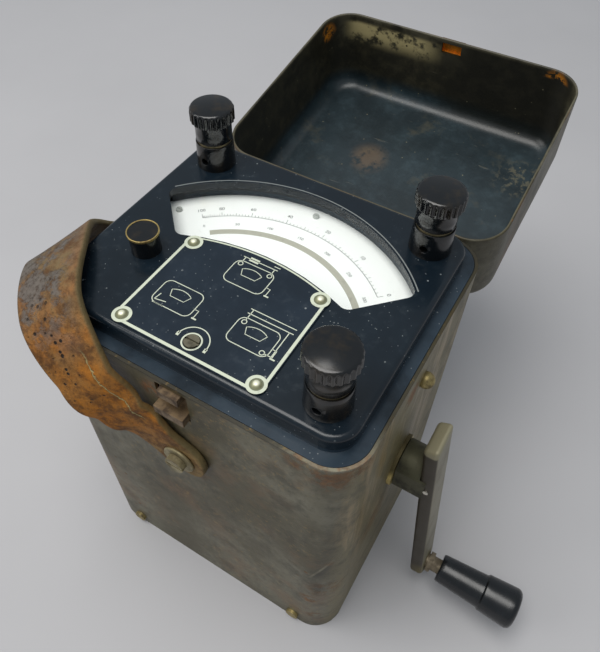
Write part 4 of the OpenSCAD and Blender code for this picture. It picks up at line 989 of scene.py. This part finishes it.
def strap_route():
    """Rows of x, y, z and lean, from the front tongue's tip round the left side to the rear one's."""
    wide, deep, panel, stud, gap = 70.0, 59.0, 188.0, 134.0, 0.3
    rear = deep + gap + sizes().strap_thickness / MM / 2
    front, tip, reach = -rear, np.radians(37), 11.5
    return np.array([
        [reach * np.cos(tip), front, stud - reach * np.sin(tip), 0], [0, front, stud, 0],
        [-9, front - 0.8, stud + 7.5, -5], [-15, front - 2.2, stud + 14, -7],
        [-22, front - 5.2, stud + 22, 2], [-33, -(deep + 8.5), panel - 17.5, 29],
        [-(wide - 19), -deep, panel + 0.4, 57], [-(wide - 1.5), -(deep - 21.5), panel + 1.5, 65],
        [-(wide + 11), -20, panel - 13.5, 48], [-(wide + 14.5), -2, panel - 32.5, 22],
        [-(wide + 15), 18, panel - 41, 14], [-(wide + 11), deep - 16, panel - 44, 10],
        [-(wide - 4), deep + 2.5, panel - 46, 4], [-(wide - 24), rear + 1.4, stud + 5, 0],
        [-(wide - 46), rear + 1.2, stud + 1, 0], [-(wide - 59), rear + 0.3, stud, 0],
        [0, rear, stud, 0], [reach, rear, stud, 0]])


def strap_strip():
    """A flat strip with round edges carried along the route; its ends narrow to round tongues."""
    half, thick = sizes().strap_width / MM / 2, sizes().strap_thickness / MM / 2
    tongue = sizes().tongue_width / MM / 2
    step, narrowing, wave, wave_run, edge_r = 1.2, 46, 0.15, 14, 1.2
    curve = smooth_curve(strap_route(), 60)
    run = np.concatenate([[0], np.cumsum(np.linalg.norm(np.diff(curve[:, :3], axis=0), axis=1))])
    tip = tongue * (1 - np.cos(np.linspace(0.12, np.pi / 2, 12)))
    stations = np.concatenate([tip, np.arange(tongue + step, run[-1] - tongue - step / 2, step), run[-1] - tip[::-1]])
    row = np.stack([np.interp(stations, run, curve[:, k]) for k in range(4)], -1)
    ahead = unit(np.gradient(row[:, :3], axis=0))
    up = unit(np.array([0, 0, 1]) - ahead[:, 2:] * ahead)
    side = unit(np.stack([ahead[:, 1], -ahead[:, 0], np.zeros(len(row))], -1))
    lean = np.radians(row[:, 3:])
    across = np.cos(lean) * up + np.sin(lean) * side
    out = np.cross(ahead, across)

    end = np.minimum(stations, run[-1] - stations)
    round_end = np.sqrt(np.maximum(tongue ** 2 - np.clip(tongue - end, 0, None) ** 2, 0.01))
    grow = np.clip((end - tongue) / narrowing, 0, 1)
    width = np.where(end < tongue, round_end, tongue + (half - tongue) * grow ** 2 * (3 - 2 * grow))
    width = width + wave * np.sin(stations / wave_run) * grow
    edge = np.minimum(edge_r, 0.9 * width)[:, None]

    flat = np.linspace(-1, 1, 13)
    bend = np.radians(np.linspace(0, 90, 5))[1:-1]
    one, round_one = np.ones(len(flat)), np.ones(len(bend))
    half_way = np.concatenate([
        np.stack([flat, one, 0 * one, one], -1),
        np.stack([round_one, round_one, np.sin(bend), np.cos(bend)], -1),
        np.stack([round_one, -round_one, np.cos(bend), -np.sin(bend)], -1)])
    skeleton = np.concatenate([half_way, -half_way])
    p = skeleton[:, 0] * (width[:, None] - edge) + skeleton[:, 2] * edge
    q = skeleton[:, 1] * (thick - edge * 0.9) + skeleton[:, 3] * edge * 0.9
    points = row[:, None, :3] + p[..., None] * across[:, None, :] + q[..., None] * out[:, None, :]
    cut = np.clip(np.abs(skeleton[:, 2]) * 1.3 - 0.25, 0, 1)
    lay = np.stack([np.broadcast_to(stations[:, None] * MM, p.shape), p / half,
                    np.broadcast_to(cut, p.shape)], -1)
    return points.reshape(-1, 3), tube_faces(len(row), len(skeleton)), lay.reshape(-1, 3)


class TESTER_OT_strap(bpy.types.Operator):
    """Leather carrying strap between its two studs."""
    bl_idname = "tester.strap"
    bl_label = "Strap"

    def execute(self, context):
        c = colours()
        points, faces, lay = strap_strip()
        paint = strap_leather("harness_leather", c.leather, c.leather_deep, c.leather_dull,
                              c.leather_grey, c.leather_cut)
        strap = make_piece("leather_strap", points, faces, "strap", "leather", [paint], ["carrying_strap"], sharp=60)
        spread = strap.data.attributes.new("lay", "FLOAT_VECTOR", "POINT")
        spread.data.foreach_set("vector", lay.ravel())
        return {"FINISHED"}


def swing_open(points):
    """Turns the shut lid about the hinge to where it stands open."""
    hinge_y, hinge_z, angle = 65.5, 170.0, np.radians(-170)
    y, z = points[:, 1] - hinge_y, points[:, 2] - hinge_z
    return np.stack([points[:, 0], hinge_y + y * np.cos(angle) - z * np.sin(angle),
                     hinge_z + y * np.sin(angle) + z * np.cos(angle)], -1)


def keeper_pocket():
    """Four rectangles round the catch's slot: two for the shallow pocket and two for its back."""
    face = -60.85
    rings = []
    for half, low, high, y in ((5.5, 172.5, 178.5, face), (5.5, 172.5, 178.5, face - 1.2),
                               (6.6, 171.6, 179.4, face - 2.0), (6.6, 171.6, 179.4, face)):
        rings.append([(-half, y, low), (half, y, low), (half, y, high), (-half, y, high)])
    faces = grid_faces(4, 4).tolist() + [[12, 13, 1, 0], [13, 14, 2, 1], [14, 15, 3, 2], [15, 12, 0, 3]]
    faces[4:8] = [[4, 5, 6, 7], [8, 9, 10, 11]]
    return swing_open(np.array(rings, float).reshape(-1, 3)), faces


def lid_tray():
    """Rings of a rounded rectangle, set in and raised by a profile, then swung open about the hinge."""
    wide, deep, tall, wall, radius, edge = 143.6, 121.6, 48.9, 1.2, 16.8, 9.0
    rim_z, slot_half, slot_low, slot_high = 170.0, 5.5, 2.5, 8.5
    a, b = wide / 2 - radius, deep / 2 - radius
    turn = np.linspace(0, 90, 13)
    front = np.concatenate([np.linspace(-a, -slot_half, 9), np.linspace(-slot_half, slot_half, 5)[1:],
                            np.linspace(slot_half, a, 9)[1:]])
    side = np.linspace(-b, b, 15)
    sides = [(front, -b, 270), (a, side, 0), (front[::-1], b, 90), (-a, side[::-1], 180)]
    spine, facing = [], []
    for x, y, angle in sides:
        spine.append(np.stack(np.broadcast_arrays(x, y), -1).astype(float))
        facing.append(np.full(len(spine[-1]), float(angle)))
        spine.append(np.repeat(spine[-1][-1:], len(turn) - 2, 0))
        facing.append(angle + turn[1:-1])
    spine, facing = np.vstack(spine), np.radians(np.concatenate(facing))
    outward = np.stack([np.cos(facing), np.sin(facing)], -1)

    bend = np.radians(np.linspace(90, 0, 9))
    outer = [(edge - edge * np.cos(t), tall - edge + edge * np.sin(t)) for t in bend]
    walls = [30.0, 20.0, slot_high, slot_low, 1.0]
    rim = [(0.0, 0.5), (0.15, 0.12), (0.6, 0.0), (1.05, 0.12), (wall, 0.5)]
    inner = [(edge - (edge - wall) * np.cos(t), tall - edge + (edge - wall) * np.sin(t)) for t in bend[::-1]]
    profile = np.array(outer + [(0, h) for h in walls] + rim + [(wall, h) for h in walls[::-1]] + inner)
    bands = spine[None] + (radius - profile[:, :1, None]) * outward[None]
    fill = 7
    shrink = np.linspace(0, 1, fill + 1)[:-1, None, None]
    flat = np.concatenate([shrink * bands[:1], bands, shrink[::-1] * bands[-1:]])
    height = np.concatenate([np.full(fill, tall), profile[:, 1], np.full(fill, tall - wall)])
    rows, columns = len(flat), len(spine)
    z = np.broadcast_to(height[:, None], (rows, columns))
    ripple = 0.22 * np.sin(flat[..., 0] / 17 + 0.7) * np.sin(flat[..., 1] / 13) * np.sin(z / 15)
    flat = flat + ripple[..., None] * outward[None]
    closed = np.stack([flat[..., 0], flat[..., 1], z + rim_z], -1)

    faces = grid_faces(rows, columns)
    row = np.repeat(np.arange(rows - 1), columns)
    column = np.tile(np.arange(columns), rows - 1)
    low, high = np.minimum(height[:-1], height[1:])[row], np.maximum(height[:-1], height[1:])[row]
    beside = (column + 1) % columns
    middle = (spine[column, 0] + spine[beside, 0]) / 2
    forward = np.isclose(facing, np.radians(270))
    at_front = forward[column] & forward[beside]
    slot = at_front & (np.abs(middle) < slot_half) & (low >= slot_low - 0.01) & (high <= slot_high + 0.01)
    inside = row >= fill + len(outer) + len(walls) + 2
    return swing_open(closed.reshape(-1, 3)), faces[~slot], inside[~slot]


class TESTER_OT_lid(bpy.types.Operator):
    """Drawn lid with a rolled rim, a rounded bottom edge, the slot for its catch and the keeper behind it."""
    bl_idname = "tester.lid"
    bl_label = "Lid"

    def execute(self, context):
        c = colours()
        enamel = worn_enamel("lid_enamel", scaled(c.enamel, 0.8), scaled(c.haze, 0.8), c.rust)
        lining = lid_lining("lid_lining", c.lining, tint(37, 34, 22), tint(128, 122, 98), tint(200, 124, 26))
        points, faces, inside = lid_tray()
        lid = make_piece("lid_tray", points, faces, "lid", "lid_paint", [enamel, lining], ["lid_shell"], sharp=60)
        lid.data.polygons.foreach_set("material_index", inside.astype(int))
        put_on(enamel, "lid_hinge_leaves")
        points, faces = keeper_pocket()
        # The keeper's brass is coloured bright orange as a painted glint inside the slot.
        brass = old_metal("keeper_brass", tint(226, 140, 34), tint(150, 92, 24), 0.5, 0.4, 220)
        keeper = make_piece("catch_keeper", points, faces, "lid", "lid_paint", [brass, enamel])
        pocket = 5  # the first faces: four walls and the ground of the pocket
        keeper.data.polygons.foreach_set("material_index", [int(k >= pocket) for k in range(len(faces))])
        return {"FINISHED"}


class TESTER_OT_works(bpy.types.Operator):
    """Generator, gears, meter and the other pieces inside."""
    bl_idname = "tester.works"
    bl_label = "Works"

    def execute(self, context):
        c = colours()
        put_on(old_metal("works_steel", c.steel, c.grime, 0.9, 0.35),
               "crank_shaft", "layshaft", "rotor_shaft", "frame_pillars", "meter_coil")
        put_on(old_metal("works_brass", c.brass, c.tarnish, 0.9, 0.35),
               "main_gear", "layshaft_gear", "frame_bushes", "button_contacts", "frame_plate_outer",
               "frame_plate_inner", "end_plate", "meter_plate")
        put_on(old_metal("works_iron", tint(92, 90, 88), tint(60, 56, 52), 0.7, 0.5),
               "generator_magnet", "meter_magnet", "pole_shoes", "meter_core", "rotor_core")
        put_on(old_metal("works_copper", tint(184, 112, 74), tint(110, 62, 40), 0.9, 0.35),
               "commutator", "brush_gear")
        put_on(gloss_bakelite("works_bakelite", c.bakelite, c.glow), "resistor_spools")
        return {"FINISHED"}


OPERATORS = (TESTER_OT_stage, TESTER_OT_case, TESTER_OT_panel, TESTER_OT_dial, TESTER_OT_name_plate,
             TESTER_OT_terminals, TESTER_OT_button, TESTER_OT_crank, TESTER_OT_strap, TESTER_OT_lid,
             TESTER_OT_works)


class TESTER_PT_sidebar(bpy.types.Panel):
    """Lists the pieces, the colours and the sizes."""
    bl_idname = "TESTER_PT_sidebar"
    bl_label = "Insulation tester"
    bl_space_type = "VIEW_3D"
    bl_region_type = "UI"
    bl_category = "Tester"

    def draw(self, context):
        for operator in OPERATORS:
            self.layout.operator(operator.bl_idname)
        for group in (context.scene.tester_colours, context.scene.tester_sizes):
            for name in group.__annotations__:
                self.layout.prop(group, name)


CLASSES = (TesterColours, TesterSizes, *OPERATORS, TESTER_PT_sidebar)


def register():
    for made in CLASSES:
        bpy.utils.register_class(made)
    bpy.types.Scene.tester_colours = PointerProperty(type=TesterColours)
    bpy.types.Scene.tester_sizes = PointerProperty(type=TesterSizes)


def unregister():
    del bpy.types.Scene.tester_sizes
    del bpy.types.Scene.tester_colours
    for made in reversed(CLASSES):
        bpy.utils.unregister_class(made)


def main():
    """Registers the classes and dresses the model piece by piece."""
    register()
    for operator in OPERATORS:
        group, name = operator.bl_idname.split(".")
        getattr(getattr(bpy.ops, group), name)()


if __name__ == "__main__":
    main()
